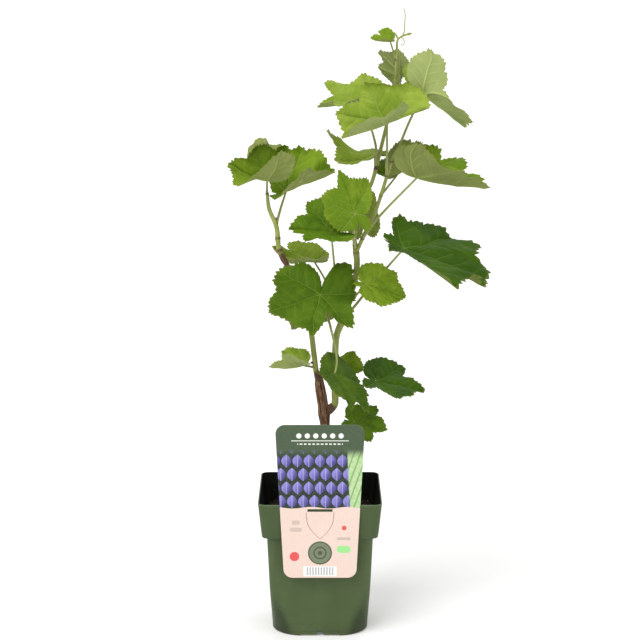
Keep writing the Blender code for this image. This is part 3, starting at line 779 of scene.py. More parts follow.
def bend(length, start, turn):
    """Run and rise after a length along an arc that starts at one slope and turns evenly."""
    turn = np.where(np.abs(turn) < 1e-7, 1e-7, turn)
    end = start + turn * length
    return (np.sin(end) - np.sin(start)) / turn, (np.cos(start) - np.cos(end)) / turn


def leaf_axes(aim):
    """Midrib, left and face directions of a leaf."""
    turn, lean, roll = np.radians(aim)
    along = np.array((cos(turn) * cos(lean), -sin(lean),
                      sin(turn) * cos(lean)))
    front = np.array((0.0, -1.0, 0.0))
    face = unit(front - front.dot(along) * along)
    face = cos(roll) * face + sin(roll) * np.cross(face, along)
    return along, np.cross(face, along), face


def leaf_surface(row, angle, reach):
    """Points of the blade's middle surface at angles and distances from the stalk."""
    size = row.size
    turned = np.radians(angle + row.spin)
    u = reach * np.cos(turned)
    v = reach * np.sin(turned) * row.width
    towards_tip = ease((u / size + 0.45) / 1.1)
    soft = ease(0.5 + v / (0.10 * size))
    fold = curl = 0
    for (base, tip, roll), share in ((row.left, soft), (row.right, 1 - soft)):
        fold = fold + share * (base + (tip - base) * towards_tip)
        curl = curl + share * roll
    out, up = bend(np.abs(v), np.radians(fold), np.radians(curl) / size)
    back, front = np.radians(row.arch)
    turn = np.where(u < 0, back, front) / size
    run, rise = bend(np.abs(u), 0.0, turn)
    slope = turn * np.abs(u)
    phase = sum(map(ord, row.name)) % 7
    up = up + row.ruffle * (reach / size) ** 2 * np.sin(5 * np.radians(angle) + phase)
    away = (np.sign(u) * (run - up * np.sin(slope)), np.sign(v) * out, rise + up * np.cos(slope))
    return row.at + np.stack(away, axis=-1) @ np.array(leaf_axes(row.aim))


def hemmed_surface(row, angle, share):
    """Points of the blade's middle surface, with the hems of its edge rolled over."""
    size = row.size
    points = leaf_surface(row, angle, share * size)
    edge = outline_share(row, angle)
    for middle, half, start, turn in row.hems:
        near = ease(1.7 - 1.7 * between_angles(angle, middle) / half)
        begin = edge * start * size
        past = np.maximum(share * size - begin, 0.0)
        run, rise = bend(past, 0.0, np.radians(turn) * near / ((1 - start) * edge * size))
        foot = leaf_surface(row, angle, begin)
        outward = unit_rows(foot - leaf_surface(row, angle, 0.98 * begin))
        sideways = leaf_surface(row, angle + 1, begin) - leaf_surface(row, angle - 1, begin)
        face = unit_rows(np.cross(outward, sideways))
        rolled = foot + run[:, None] * outward + rise[:, None] * face
        share_of = (np.clip(2 * near, 0, 1) * (past > 0))[:, None]
        points = points * (1 - share_of) + rolled * share_of
    return points


def between_angles(angle, other):
    return np.abs((angle - other + 180) % 360 - 180)


def flat_places(row, angle, share):
    """Where points lie on the flat leaf, wandered a little so that each leaf's veins run their way."""
    x, y = share * np.cos(np.radians(angle)), share * np.sin(np.radians(angle))
    a, b, c = np.random.default_rng(row.seed).uniform(0, 2 * pi, 3)
    settled = ease(share / 0.3)
    return np.column_stack((
        x + settled * (0.020 * np.sin(6 * y + a) + 0.010 * np.sin(14 * y + 5 * x + b)),
        y + settled * (0.018 * np.sin(7 * x + c) + 0.012 * np.sin(12 * x + 8 * y + a)),
    ))


def vein_places(x, y):
    """How far places on the flat leaf are along and from their main vein and from the nearest side
    vein, and their angle from the midrib. They are arrays, or numbers in a node tree."""
    reach = np.sqrt(x * x + y * y)
    angle = np.arctan2(abs(y), x)
    first, second = (radians(a) for a in SECTORS)
    lobe, ear = (radians(a) for a in MAIN_VEINS[1:])
    off = angle - (angle > first) * lobe - (angle > second) * (ear - lobe)
    along, across = reach * np.cos(off), reach * abs(np.sin(off))
    phase = ((angle < lobe) + (angle > ear)) * 0.5 + (y < 0.0) * SIDE_SHIFT
    step = (along - across * SIDE_LEAN + across * across * SIDE_CURVE) / SIDE_PITCH + phase
    return along, across, abs(step % 1.0 - 0.5) * (SIDE_PITCH * 0.78), angle


def skin_normals(points, triangles):
    """Normals at the points of an open skin."""
    corners = points[triangles]
    flat = np.cross(corners[:, 1] - corners[:, 0], corners[:, 2] - corners[:, 0])
    total = np.zeros_like(points)
    for corner in triangles.T:
        np.add.at(total, corner, flat)
    return unit_rows(total)


def blade(row, thickness):
    """Points, triangles, sides (0 upper, 1 under), flat places and nearness to the edge of a leaf."""
    chance = np.random.default_rng(row.seed)
    size = row.size
    edge, teeth = toothed_edge(row, chance)
    smooth = outline_share(row, edge)
    angles, reaches, rows, start = [np.zeros(1)], [np.zeros(1)], [], 1
    for ring in (*np.arange(RING_STEP, 1 - 0.5 * RING_STEP, RING_STEP), 0.985, 1.0):
        every = 4 if ring < COARSE_TO else 2 if ring < MIDDLE_TO else 1
        angles.append(edge[::every])
        reaches.append(((smooth + teeth * ease((ring - 0.8) / 0.2)) * ring)[::every])
        rows.append(np.arange(start, start + len(angles[-1])))
        start += len(angles[-1])
    angle, share = np.concatenate(angles), np.concatenate(reaches)
    skin = np.concatenate([fan(0, rows[0]), *map(ring_triangles, rows, rows[1:])])
    middle = hemmed_surface(row, angle, share)
    flat = flat_places(row, angle, share)
    along, across, side, folded = vein_places(*flat.T)
    between = np.sin(np.pi * (np.interp(np.degrees(folded), (*MAIN_VEINS, 180), range(4)) % 1))
    main = bell(across, 0.035 - 0.015 * np.clip(along, 0, 1))
    minor = bell(side, 0.02) * ease(across / 0.05)
    turned = np.radians(angle)
    a, b = chance.uniform(0, 2 * pi, 2)
    lift = PUCKER * ease(share / 0.2) * (0.6 - np.maximum(1.6 * main, minor))
    lift += ARCH * share * (1 - 0.35 * share) * (between - 0.5)
    lift += FRILL * share**3 * (np.sin(11 * turned + a) + 0.6 * np.sin(24 * turned + b))
    for place, half, height in row.waves:
        lift += height * share**1.5 * ease(1 - between_angles(angle, place) / half)
    middle = middle + skin_normals(middle, skin) * (size * lift)[:, None]
    normals = skin_normals(middle, skin)
    margin = share / np.maximum(outline_share(row, angle), 0.05)
    thin = 0.5 * thickness / MM * (1 - 0.5 * ease((margin - 0.8) / 0.2))
    rib = 0.011 * size * bell(across, 0.018) * np.clip(1 - along, 0.1, 1) * (along > 0)
    points = np.vstack((middle + normals * thin[:, None], middle - normals * (thin + rib)[:, None]))
    total, last = len(middle), rows[-1]
    under = np.concatenate((skin[:, ::-1] + total, *rim_triangles(last, total)))
    kinds = np.repeat((0, 1), (len(skin), len(under)))
    return points, np.concatenate((skin, under)), kinds, np.vstack((flat, flat)), np.tile(margin, 2)


def rim_triangles(last, total):
    """Triangles that join the upper skin's last ring to the under skin's."""
    after = np.roll(last, -1)
    return (np.column_stack((last, total + last, total + after)),
            np.column_stack((last, total + after, after)))


def leaf_finish(tone, under):
    """The skin of a leaf: blotched green with a net of veins that follows the blade."""
    face, blotch, back, vein = TONES[tone]
    made = Finish(f"leaf_{tone}_{'underside' if under else 'upper'}", 0.06 if under else 0.10)
    seed, margin = made.carried("leaf_seed"), made.carried("margin")
    x, y, _ = made.parts(made.add("ShaderNodeUVMap", {"uv_map": "leaf_map"}))
    here = made.join(x, y, seed)
    along, across, side, _ = vein_places(x, y)
    main = (1 - across / (0.016 - along * 0.010)).max(0.0).rise(0.0, 0.6)
    fading = across.rise(0.0, 0.02) * across.rise(0.5, 0.1) * margin.rise(1.0, 0.8)
    minor = side.rise(0.009, 0.002) * fading
    net = made.cells(here, 22.0).rise(0.06, 0.0)
    veins = main.max((minor * 0.55).max(net * 0.16))
    cloud = made.noise(here, 1.8)
    speck = made.noise(here, 40.0, 4.0, 0.7)
    if under:
        green = made.coat(
            back,
            (cloud.rise(0.35, 0.7) * 0.5, tinted(back, 0.75)),
            (speck.rise(0.45, 0.75) * 0.25, tinted(back, 1.25)),
            (veins * 0.6, vein),
        )
        height = veins + speck * 0.25
        rough = speck.rise(0.3, 0.7, 0.66, 0.82)
    else:
        green = made.coat(
            face,
            (cloud.rise(0.38, 0.66) * 0.8 + seed * 0.37 % 1.0 * 0.2, blotch),
            ((side * 14.0).min(1.0) * 0.25, blotch),
            (speck.rise(0.5, 0.8) * 0.25, tinted(blotch, 0.6)),
            (veins * 0.45, vein),
        )
        height = net * -0.4 + speck * 0.2 - main * 0.8 - minor * 0.6
        rough = speck.rise(0.3, 0.7, 0.48, 0.62)
    green = made.coat(
        green,
        (margin.rise(0.955, 0.995) * speck.rise(0.35, 0.6) * 0.45, rgb(150, 142, 66)),
        # painted shade: each leaf darkened towards black by its own share, for how deep it stands among
        # the others
        (1 - made.carried("leaf_shade"), (0.0, 0.0, 0.0)),
    )
    return made.done(green, rough, height, 0.0006, 0.5)


def make_leaves():
    """Each leaf in its own place, joined into four pieces."""
    thickness = bpy.context.scene.vine_sizes.leaf_thickness
    skins = {tone: [leaf_finish(tone, under) for under in (False, True)] for tone in TONES}
    for piece, rows in LEAF_PIECES.items():
        tones = sorted({row.tone for row in rows})
        found, start = [], 0
        for row in rows:
            points, triangles, kinds, flat, margin = blade(row, thickness)
            # each leaf's seed and the share of its green kept under its painted shade, at every point
            alike = [np.full(len(points), float(value)) for value in (row.seed, row.shade)]
            found.append((points, triangles + start, kinds + 2 * tones.index(row.tone), flat, margin,
                          *alike))
            start += len(points)
        points, triangles, kinds, flat, margin, seed, shade = map(np.concatenate, zip(*found))
        made = solid(piece, points, triangles, [m for tone in tones for m in skins[tone]],
                     kinds, sharp=60)
        mesh = made.data
        carry(mesh, leaf_seed=seed, margin=margin, leaf_shade=shade)
        corners = np.zeros(len(mesh.loops), int)
        mesh.loops.foreach_get("vertex_index", corners)
        mesh.uv_layers.new(name="leaf_map").data.foreach_set("uv", flat[corners].ravel())
        finish_piece(made, "leaf", *[row.name for row in rows])


# ---------------------------------------------------------------- stem and shoots


def shoot_finish(name, green):
    """Green stem skin: fine lengthwise streaks, and brown where the piece says so."""
    made = Finish(name, 0.4)
    where = made.place()
    streak = made.noise(made.stretched(where, 1.0, 1.0, 0.12), 1400.0, 4.0, 0.65)
    cloud = made.noise(where, 90.0)
    mask = (made.carried("brown") + (cloud - 0.5) * 0.5).rise(0.25, 0.75)
    brown = made.blend(streak.rise(0.4, 0.6), rgb(112, 78, 50), rgb(58, 40, 26))
    skin = made.coat(
        green,
        (streak.rise(0.35, 0.7) * 0.6, tinted(green, 0.62)),
        (cloud.rise(0.4, 0.7) * 0.35, rgb(176, 182, 110)),
        (mask, brown),
    )
    height = streak * 0.8 + mask * streak * 1.5 - made.cells(where, 900.0).rise(0.12, 0.0) * 0.3
    return made.done(skin, streak.rise(0.3, 0.7, 0.45, 0.62), height, 0.00025, 0.6)


def axil_buds():
    """A small pointed bud above the foot of each stalk, on the shoot that carries it, as a path
    with its girth and how brown it is."""
    found = []
    for row in LEAVES:
        carrier, height, *way = row.stalk
        if height is None:
            continue
        centre, thick, along = axis_at(shoot_path(carrier), height + 4.0)
        aim = unit(np.subtract((*way, row.at)[0], centre))
        aim = unit(aim - 0.6 * aim.dot(along) * along + 0.5 * along)
        length, radius = 1.2 + 1.3 * thick, 0.42 * thick + 0.2
        found.append(np.array([
            (*(centre + aim * (0.6 * thick + length * share)), radius * girth, 0.35 + 0.5 * share)
            for share, girth in BUD_GIRTHS
        ]))
    return found


def make_shoots():
    """The green shoots with their joints and buds, the leaf stalks and the growing tip."""
    rule = limb_rule()
    green = shoot_finish("shoot_skin", rgb(150, 158, 78))
    names = ("left_shoot", "main_shoot", "leader", "side_shoot")
    shoots = [rounded_end(with_joints(name, shoot_path(name))) for name in names]
    tip = [with_joints("shoot_tip", shoot_path("shoot_tip", 0.5))]
    tip += [np.pad(curve(sprig, 0.6), ((0, 0), (0, 1))) for sprig in SPRIGS]
    tip.append(curve(CURL, 0.5))
    for name, paths, sides, skin, stands_for in (
        ("green_shoots", shoots + axil_buds(), 20, green, names),
        ("leaf_stalks", [stalk_path(row) for row in LEAVES], 12,
         shoot_finish("stalk_skin", rgb(152, 158, 92)), ()),
        ("growing_tip", map(rounded_end, tip), 12, green, ("shoot_tip",)),
    ):
        made = rule.grow(name, lines_mesh("lines", list(paths)), sides=sides, material=skin)
        finish_piece(made, "green_shoot", *stands_for)


def bark_finish():
    """Stringy brown bark: long fibres, dark cracks and paler worn ridges."""
    made = Finish("stringy_bark", 0.2)
    where = made.place()
    long = made.stretched(where, 1.0, 1.0, 0.12)
    fibre = made.noise(long, 700.0, 6.0, 0.75)
    crack = made.noise(long, 300.0, 4.0, 0.6, 0.4)
    cloud = made.noise(where, 70.0, 4.0, 0.65)
    fleck = made.noise(made.stretched(where, 1.0, 1.0, 0.5), 420.0, 4.0, 0.7)
    relief = made.carried("relief")
    bark = made.coat(
        rgb(84, 58, 42),
        (fibre.rise(0.38, 0.6), rgb(150, 114, 88)),
        (cloud.rise(0.42, 0.62) * 0.7, rgb(104, 72, 56)),
        # painted highlight: pale tan flecks on the raised plates
        (relief.rise(0.6, 0.9) * fleck.rise(0.48, 0.62) * 0.8, rgb(204, 174, 134)),
        (crack.rise(0.46, 0.38) * 0.8, rgb(42, 30, 22)),
        # painted shade down between the plates, where the relief is low
        (relief.rise(0.42, 0.16) * 0.85, rgb(30, 22, 16)),
    )
    height = fibre * 0.7 + crack.rise(0.3, 0.55) + fleck * 0.5
    return made.done(bark, fibre.rise(0.3, 0.7, 0.95, 0.8), height, 0.0012, 0.9)


def make_trunk():
    """The woody stem, with the bark's strings and plates as relief and a cut top."""
    bark_relief = bpy.context.scene.vine_sizes.bark_relief
    path = shoot_path("trunk", TRUNK_RING)
    ways = np.gradient(path[:, :3], axis=0)
    side = unit(np.cross(unit(ways[0]), (0.31, 0.95, 0.05)))
    turns = np.linspace(0, 2 * pi, TRUNK_SIDES, endpoint=False)
    rings, relief = [], []
    for (*centre, radius), way in zip(path, ways):
        way = unit(way)
        side = unit(side - side.dot(way) * way)
        z = centre[2]
        swell = 1 + 0.22 * bell(z - 238, 7) + 0.12 * bell(z - 214, 5)
        swell += 0.22 * exp(-((z - SOIL_TOP) / 9))
        round_ = np.column_stack((np.cos(turns), np.sin(turns)))
        heights = np.array([bark_height(*spot, z) for spot in round_ * radius])
        rise = radius * swell - 0.3 + bark_relief / MM * (heights - 0.55)
        rings.append(centre + rise[:, None] * (round_ @ np.array((side, np.cross(way, side)))))
        relief.append(heights)
    last = rings[-1]
    middle = last.mean(axis=0)
    # The cut top's low relief numbers also deepen the bark's painted shade towards its dipped middle.
    for share, drop in ((0.93, 0.45), (0.72, 0.3), (0.45, 0.1), (0.2, -0.5)):
        rings.append(middle + (last - middle) * share + unit(ways[-1]) * drop)
        relief.append(np.full(TRUNK_SIDES, 0.25 + 0.3 * share))
    made = solid("woody_stem", *stack(rings), [bark_finish()], sharp=75)
    carry(made.data, relief=np.concatenate((*relief, (0.5, 0.2))))
    finish_piece(made, "bark", "trunk")


def bark_height(x, y, z):
    """Height of the bark, from 0 in a crack to 1 on a plate, at a place on the stem."""
    twist = 0.006 * z
    u = x * cos(twist) - y * sin(twist)
    v = x * sin(twist) + y * cos(twist)
    plates = noise.noise(Vector((u * 0.62, v * 0.62, z * 0.035)))
    strings = noise.noise(Vector((u * 1.7 + 9, v * 1.7, z * 0.06)))
    fine = noise.noise(Vector((u * 3.9, v * 3.9 + 4, z * 0.16)))
    return ease(0.5 + 1.1 * plates) * 0.55 + (0.5 + 0.5 * strings) * 0.32 + (0.5 + 0.5 * fine) * 0.2


# ---------------------------------------------------------------- pot, mix and card


def rounded_square(half, corner, height):
    """Points round a square with rounded corners, with a few along each side."""
    turns = np.linspace(0, pi / 2, CORNER_SEGMENTS + 1)
    x = np.concatenate((half - corner + corner * np.cos(turns), (half - corner) * SIDE_STEPS))
    y = np.concatenate((half - corner + corner * np.sin(turns), np.full(len(SIDE_STEPS), half)))
    sides = ((x, y), (-y, x), (-x, -y), (y, -x))
    return np.column_stack((*np.hstack(sides), np.full(4 * len(x), height)))


def body_half(height):
    return BASE_HALF + (BODY_TOP_HALF - BASE_HALF) * height / BAND_FOOT


def body_corner(height):
    """Radius of the pot body's corners, which open out towards the base."""
    return TOP_CORNER + (BASE_CORNER - TOP_CORNER) * ease(1 - height / CORNER_START)


def pot_profile():
    """The pot's outside then inside, as heights, half widths and corner radii."""
    heights = (EDGE, 3.5, *np.arange(6.0, CORNER_START + 1, 4.5), 80, 100, BAND_FOOT - 1.0)
    body = [(z, body_half(z), body_corner(z)) for z in heights]
    return (
        (0.0, BASE_HALF - EDGE, BASE_CORNER),
        (0.4, BASE_HALF - 0.5 * EDGE, BASE_CORNER),
        *body,
        (BAND_FOOT - 0.3, body_half(BAND_FOOT) + 0.25, TOP_CORNER),
        *((BAND_FOOT + up, BAND_FOOT_HALF - inset, RIM_CORNER - less) for up, inset, less in (
            (-0.05, 1.6, 3), (0.1, 0.6, 2), (0.6, 0.1, 1), (1.4, 0, 1))),
        *((BAND_FOOT + s * RIM_BAND, BAND_FOOT_HALF + (RIM_HALF - BAND_FOOT_HALF) * s,
           RIM_CORNER - 1 + s) for s in (0.2, 0.4, 0.6, 0.8, 0.93)),
        (POT_HEIGHT - 0.9, RIM_HALF, RIM_CORNER),
        (POT_HEIGHT - 0.35, RIM_HALF - 0.1, RIM_CORNER),
        (POT_HEIGHT, RIM_HALF - 0.45, RIM_CORNER),
        (POT_HEIGHT, RIM_HALF - WALL + 0.4, RIM_CORNER - WALL),
        (POT_HEIGHT - 0.5, RIM_HALF - WALL, RIM_CORNER - WALL),
        (BAND_FOOT + 2.5, BAND_FOOT_HALF - WALL, RIM_CORNER - 1 - WALL),
        *((z, half - WALL, corner - 1) for z, half, corner in reversed(body[2:])),
        (FLOOR, body_half(FLOOR) - WALL, body_corner(FLOOR) - 1),
    )


def pot_finish():
    """Semi-matte olive green moulded plastic with faint flow marks, scuffs and a dusty foot."""
    made = Finish("pot_green", 0.25)
    where = made.place()
    flow = made.noise(made.stretched(where, 1.0, 1.0, 0.15), 60.0)
    x, y, z = made.parts(made.stretched(where, *TO_MM))
    mottle = made.noise(where, 24.0, 4.0)
    grain = made.noise(where, 2600.0, 2.0, 0.6)
    scuff = made.noise(made.stretched(where, 1.0, 1.0, 5.0), 130.0, 5.0, 0.75).rise(0.66, 0.8)
    # painted shade: how near a point is to a lower corner, which turns away from the light
    corner = abs(abs(x) - abs(y)) - (CORNER_START - z) * 0.32
    seam = abs(z - 14.0).rise(0.7, 0.2) * abs(x + 20.0).rise(22.0, 14.0)
    green = made.coat(
        rgb(76, 92, 56),
        (mottle.rise(0.35, 0.7) * 0.5, rgb(68, 85, 47)),
        (flow.rise(0.45, 0.75) * 0.2, rgb(90, 104, 70)),
        (scuff * 0.3, rgb(112, 122, 94)),
        # painted shade on the lower corners
        (corner.rise(9.0, -8.0) * z.rise(CORNER_START, 15.0) * 0.72, rgb(28, 36, 18)),
        # darker, browner blotches towards the foot
        (z.rise(20.0, 0.0) * mottle.rise(0.35, 0.65) * 0.4, rgb(66, 64, 42)),
        (seam * 0.3, rgb(48, 60, 34)),
        # painted shade: the flared rim band, which faces a little downwards, darkened
        (z.rise(BAND_FOOT - 0.5, BAND_FOOT) * 0.14, rgb(18, 34, 22)),
        # painted highlight along the top of the lip
        (z.rise(POT_HEIGHT - 1.5, POT_HEIGHT - 0.4) * 0.5, rgb(112, 128, 96)),
    )
    rough = mottle.rise(0.3, 0.7, 0.46, 0.58) + scuff * 0.15
    return made.done(green, rough, grain * 0.4 + flow * 0.6, 0.0002, 0.35)


def inside_finish():
    """The pot's near-black inner face, dusted with mix."""
    made = Finish("pot_inside", 0.12)
    where = made.place()
    dust = made.noise(where, 160.0, 5.0, 0.7)
    low = made.parts(where)[2].rise(0.140, 0.124)
    black = made.coat(
        rgb(9, 12, 8),
        (dust.rise(0.4, 0.7) * 0.3, rgb(20, 24, 17)),
        (low * dust.rise(0.4, 0.6) * 0.6, rgb(34, 27, 20)),
    )
    return made.done(black, dust.rise(0.3, 0.7, 0.5, 0.75), dust, 0.0002, 0.3)


def block(low, high, materials, taper=1.0):
    """A block between two corners, to cut or join with. Its top may be narrower along X."""
    middle, half = (low[0] + high[0]) / 2, (high[0] - low[0]) / 2
    return solid("block", *stack([
        [(middle - half * share, low[1], z), (middle + half * share, low[1], z),
         (middle + half * share, high[1], z), (middle - half * share, high[1], z)]
        for z, share in ((low[2], 1.0), (high[2], taper))
    ]), materials)


def combine(target, operation, *others):
    """Cuts the others from an object, or joins them to it, and removes them."""
    for other in others:
        change = target.modifiers.new("combine", "BOOLEAN")
        change.operation, change.solver, change.object = operation, "EXACT", other
    settle(target)
    for other in others:
        bpy.data.objects.remove(other)


def make_pot():
    """The square nursery pot, green outside and near black inside, with channels under its foot."""
    rings = [rounded_square(half, corner, z) for z, half, corner in pot_profile()]
    skins = [pot_finish(), inside_finish()]
    pot = solid("nursery_pot", *stack(rings), skins)
    cutters = []
    for quarter in range(4):
        for (wide, deep, high), outer, taper in (
            (FOOT_CHANNEL, BASE_HALF, 1.0),
            (DRAIN_NOTCH, BASE_HALF, NOTCH_TAPER),
            (FOOT_RECESS, body_half(FOOT_RECESS[2]), 1.0),
        ):
            cutter = block((-wide / 2, outer - deep, -CUT_PAST),
                           (wide / 2, BASE_HALF + CUT_PAST, high), skins[:1], taper)
            cutter.data.transform(Matrix.Rotation(quarter * pi / 2, 4, "Z"))
            cutters.append(cutter)
    combine(pot, "DIFFERENCE", *cutters)
    for face in pot.data.polygons:
        centre, normal = face.center, face.normal
        inwards = normal.x * centre.x + normal.y * centre.y < 0 and abs(normal.z) < 0.8
        floor = normal.z > 0.8 and 0.9 * FLOOR * MM < centre.z < 0.1
        face.material_index = 1 if (inwards and centre.z > FLOOR * MM) or floor else 0
    pot.data.set_sharp_from_angle(angle=radians(32))
    finish_piece(pot, "pot", "pot")


def mix_finish(name, dark, light):
    """Crumbly potting matter: two browns, broken up at the scale of its crumbs."""
    made = Finish(name, 0.2)
    where = made.place()
    coarse = made.noise(where, 260.0, 5.0, 0.7)
    fine = made.noise(where, 1500.0, 3.0, 0.7)
    brown = made.coat(dark, (coarse.rise(0.35, 0.7), light),
                      (fine.rise(0.55, 0.8) * 0.4, tinted(light, 1.6)))
    rough = coarse.rise(0.3, 0.7, 0.98, 0.82)
    return made.done(brown, rough, coarse + fine * 0.5, 0.0012, 0.9)


def mix_height(x, y):
    """Height of the potting mix's top."""
    far = max(abs(x), abs(y)) / SOIL_HALF
    rise = SOIL_MOUND * ease(1.1 - 1.6 * hypot(x - 7, y - 2) / SOIL_HALF)
    fall = SOIL_DIP * ease((far - 0.75) / 0.25)
    lumps = noise.fractal(Vector((x * 0.11, y * 0.11, 3.0)), 0.9, 2.1, 5)
    return SOIL_TOP + rise - fall + SOIL_ROUGH * lumps


def make_mix():
    """The potting mix with its loose crumbs, bark chips and pale grains."""
    brown = mix_finish("mix_brown", rgb(28, 22, 17), rgb(56, 44, 34))
    heights = (FLOOR + GAP, 12, 25, 38, 70, 100, BAND_FOOT - EDGE)
    rings = [rounded_square(body_half(z) - WALL - GAP, body_corner(z) - 1 - GAP, z)
             for z in heights]
    for half in SOIL_HALF * np.linspace(1.0, 0.02, 46):
        ring = rounded_square(half, max(0.22 * half, 0.2), 0.0)
        rings.append([(x, y, mix_height(x, y)) for x, y, _ in ring])
    made = solid("potting_mix", *stack(rings), [brown], sharp=80)
    finish_piece(made, "soil", "root_ball")
    top = bmesh.new()
    top.from_mesh(made.data)
    low = [f for f in top.faces
           if f.normal.z < 0.3 or f.calc_center_median().z < (SOIL_TOP - 6) * MM]
    bmesh.ops.delete(top, geom=low, context="FACES")
    surface = bpy.data.meshes.new("mix_top")
    top.to_mesh(surface)
    top.free()
    rule = strew_rule()
    skins = (brown, mix_finish("chip_brown", rgb(40, 30, 22), rgb(66, 52, 38)),
             mix_finish("grain_white", rgb(176, 172, 160), rgb(226, 222, 212)))
    for (name, density, smallest, largest, roughness, seed), skin in zip(STREWN, skins):
        grown = rule.grow(name, surface.copy(), density=density, smallest=smallest,
                          largest=largest, roughness=roughness, seed=seed, material=skin)
        finish_piece(grown, "soil")


def card_finish():
    """The hang card's face: a green head with a beaded band, violet petals, and a pale foot."""
    made = Finish("printed_card", 0.45)
    x, y, z = made.parts(made.stretched(made.place(), *TO_MM))
    paper = made.noise(made.join(x, y, z), 0.35, 4.0)

    def rounded(dx, dz, radius, soft):
        return np.sqrt(dx * dx + dz * dz).rise(radius + soft, radius - soft)

    def disc(cx, cz, radius):
        return rounded(x - cx, z - cz, radius, 0.35)

    def panel(cx, cz, wide, tall, corner):
        return rounded((abs(x - cx) - (wide / 2 - corner)).max(0.0),
                       (abs(z - cz) - (tall / 2 - corner)).max(0.0), corner, 0.3)

    def row(wide):
        """How far a place is across its cell in a row of cells."""
        return (x / wide % 1.0 - 0.5) * wide

    bead = rounded(row(9.0), z - 230.0, 2.8, 0.3) * abs(x).rise(27.5, 27.0)
    dash = abs(row(4.5)).rise(1.6, 1.2) * abs(z - 221.0).rise(0.9, 0.5) * abs(x).rise(24.5, 24.0)
    line = abs(z - 224.6).rise(0.55, 0.25) * abs(x).rise(31.0, 30.5)
    head = made.coat(
        rgb(70, 88, 62),
        (paper.rise(0.35, 0.7) * 0.4, rgb(58, 76, 50)),
        (bead.max(dash).max(line), rgb(240, 242, 236)),
    )

    u = ((x / 12.0 + (z / 15.0).floor() * 0.5 % 1.0) % 1.0 - 0.5) * 12.0
    v = (z / 15.0 % 1.0 - 0.5) * 15.0
    petal = (abs(u) - (1 - (v / 7.2) * (v / 7.2)) * 5.4).rise(0.25, -0.25)
    violet = made.coat(
        rgb(140, 134, 208),
        ((u * 0.12 - v * 0.07 + paper * 0.8).rise(-0.2, 1.1), rgb(72, 66, 136)),
        (abs(u).rise(0.7, 0.2) * 0.5, rgb(190, 188, 236)),
    )
    blades = abs((x - z * 0.35 + 20.0) / 7.0 % 1.0 - 0.5).rise(0.16, 0.08)
    meadow = made.coat(
        rgb(150, 196, 122),
        (paper.rise(0.1, 0.9), rgb(206, 222, 178)),
        (blades * 0.7, rgb(96, 148, 72)),
    )
    field = made.coat(
        rgb(26, 36, 26),
        (paper.rise(0.4, 0.65), rgb(48, 64, 44)),
        (petal, violet),
        ((x + (z - 180.0) * 0.05).rise(30.0, 31.5), meadow),
        (z.rise(204.0, 216.0), head),
    )

    drop = 150.0 - z
    half = 15.2 - (drop - 12.0).max(0.0) ** 2.0 * 0.026 - drop * 0.07
    edge_line = abs(abs(x) - half).rise(0.55, 0.2) * drop.rise(4.5, 5.0) * drop.rise(35.0, 34.2)
    ring = disc(0.0, 100.0, 11.5) - disc(0.0, 100.0, 7.2) + disc(0.0, 100.0, 5.6)
    bars = abs(x / 3.0 % 1.0 - 0.5).rise(0.3, 0.2) * panel(0.0, 79.5, 30.0, 9.0, 0.6)
    pills = panel(-26.0, 126.0, 13.0, 5.0, 2.4).max(panel(-26.0, 134.0, 9.0, 5.0, 2.4))
    cream = made.coat(
        rgb(232, 209, 197),
        (paper.rise(0.3, 0.7) * 0.5, rgb(228, 200, 186)),
        (edge_line * 0.75, rgb(96, 78, 70)),
        (disc(-27.5, 96.0, 5.2).max(disc(26.0, 128.0, 2.6)), rgb(222, 84, 84)),
        (disc(0.0, 100.0, 13.0), rgb(70, 84, 58)),
        ((ring - disc(0.0, 100.0, 2.4)) * 0.25, rgb(190, 200, 170)),
        (pills * 0.5, rgb(178, 160, 152)),
        (panel(25.5, 104.0, 15.0, 8.0, 3.8), rgb(158, 222, 140)),
        (panel(25.5, 116.0, 15.0, 3.0, 1.4) * 0.6, rgb(178, 160, 152)),
        (panel(0.0, 79.5, 36.0, 11.0, 1.0), rgb(240, 240, 238)),
        (bars * 0.6, rgb(110, 118, 120)),
        ((z + np.sin(x * 0.16) * 0.9).rise(150.3, 150.9), field),
    )
    front = y.rise(CARD_FACE + 0.35, CARD_FACE + 0.15)
    colour = made.coat(rgb(238, 234, 226), (paper.rise(0.3, 0.7), rgb(228, 222, 212)),
                       (front, cream))
    fibre = made.noise(made.join(x, y, z), 2.5, 2.0)
    return made.done(colour, paper.rise(0.3, 0.7, 0.36, 0.48), paper * 2.0 + fibre * 0.3,
                     0.0001, 0.25)


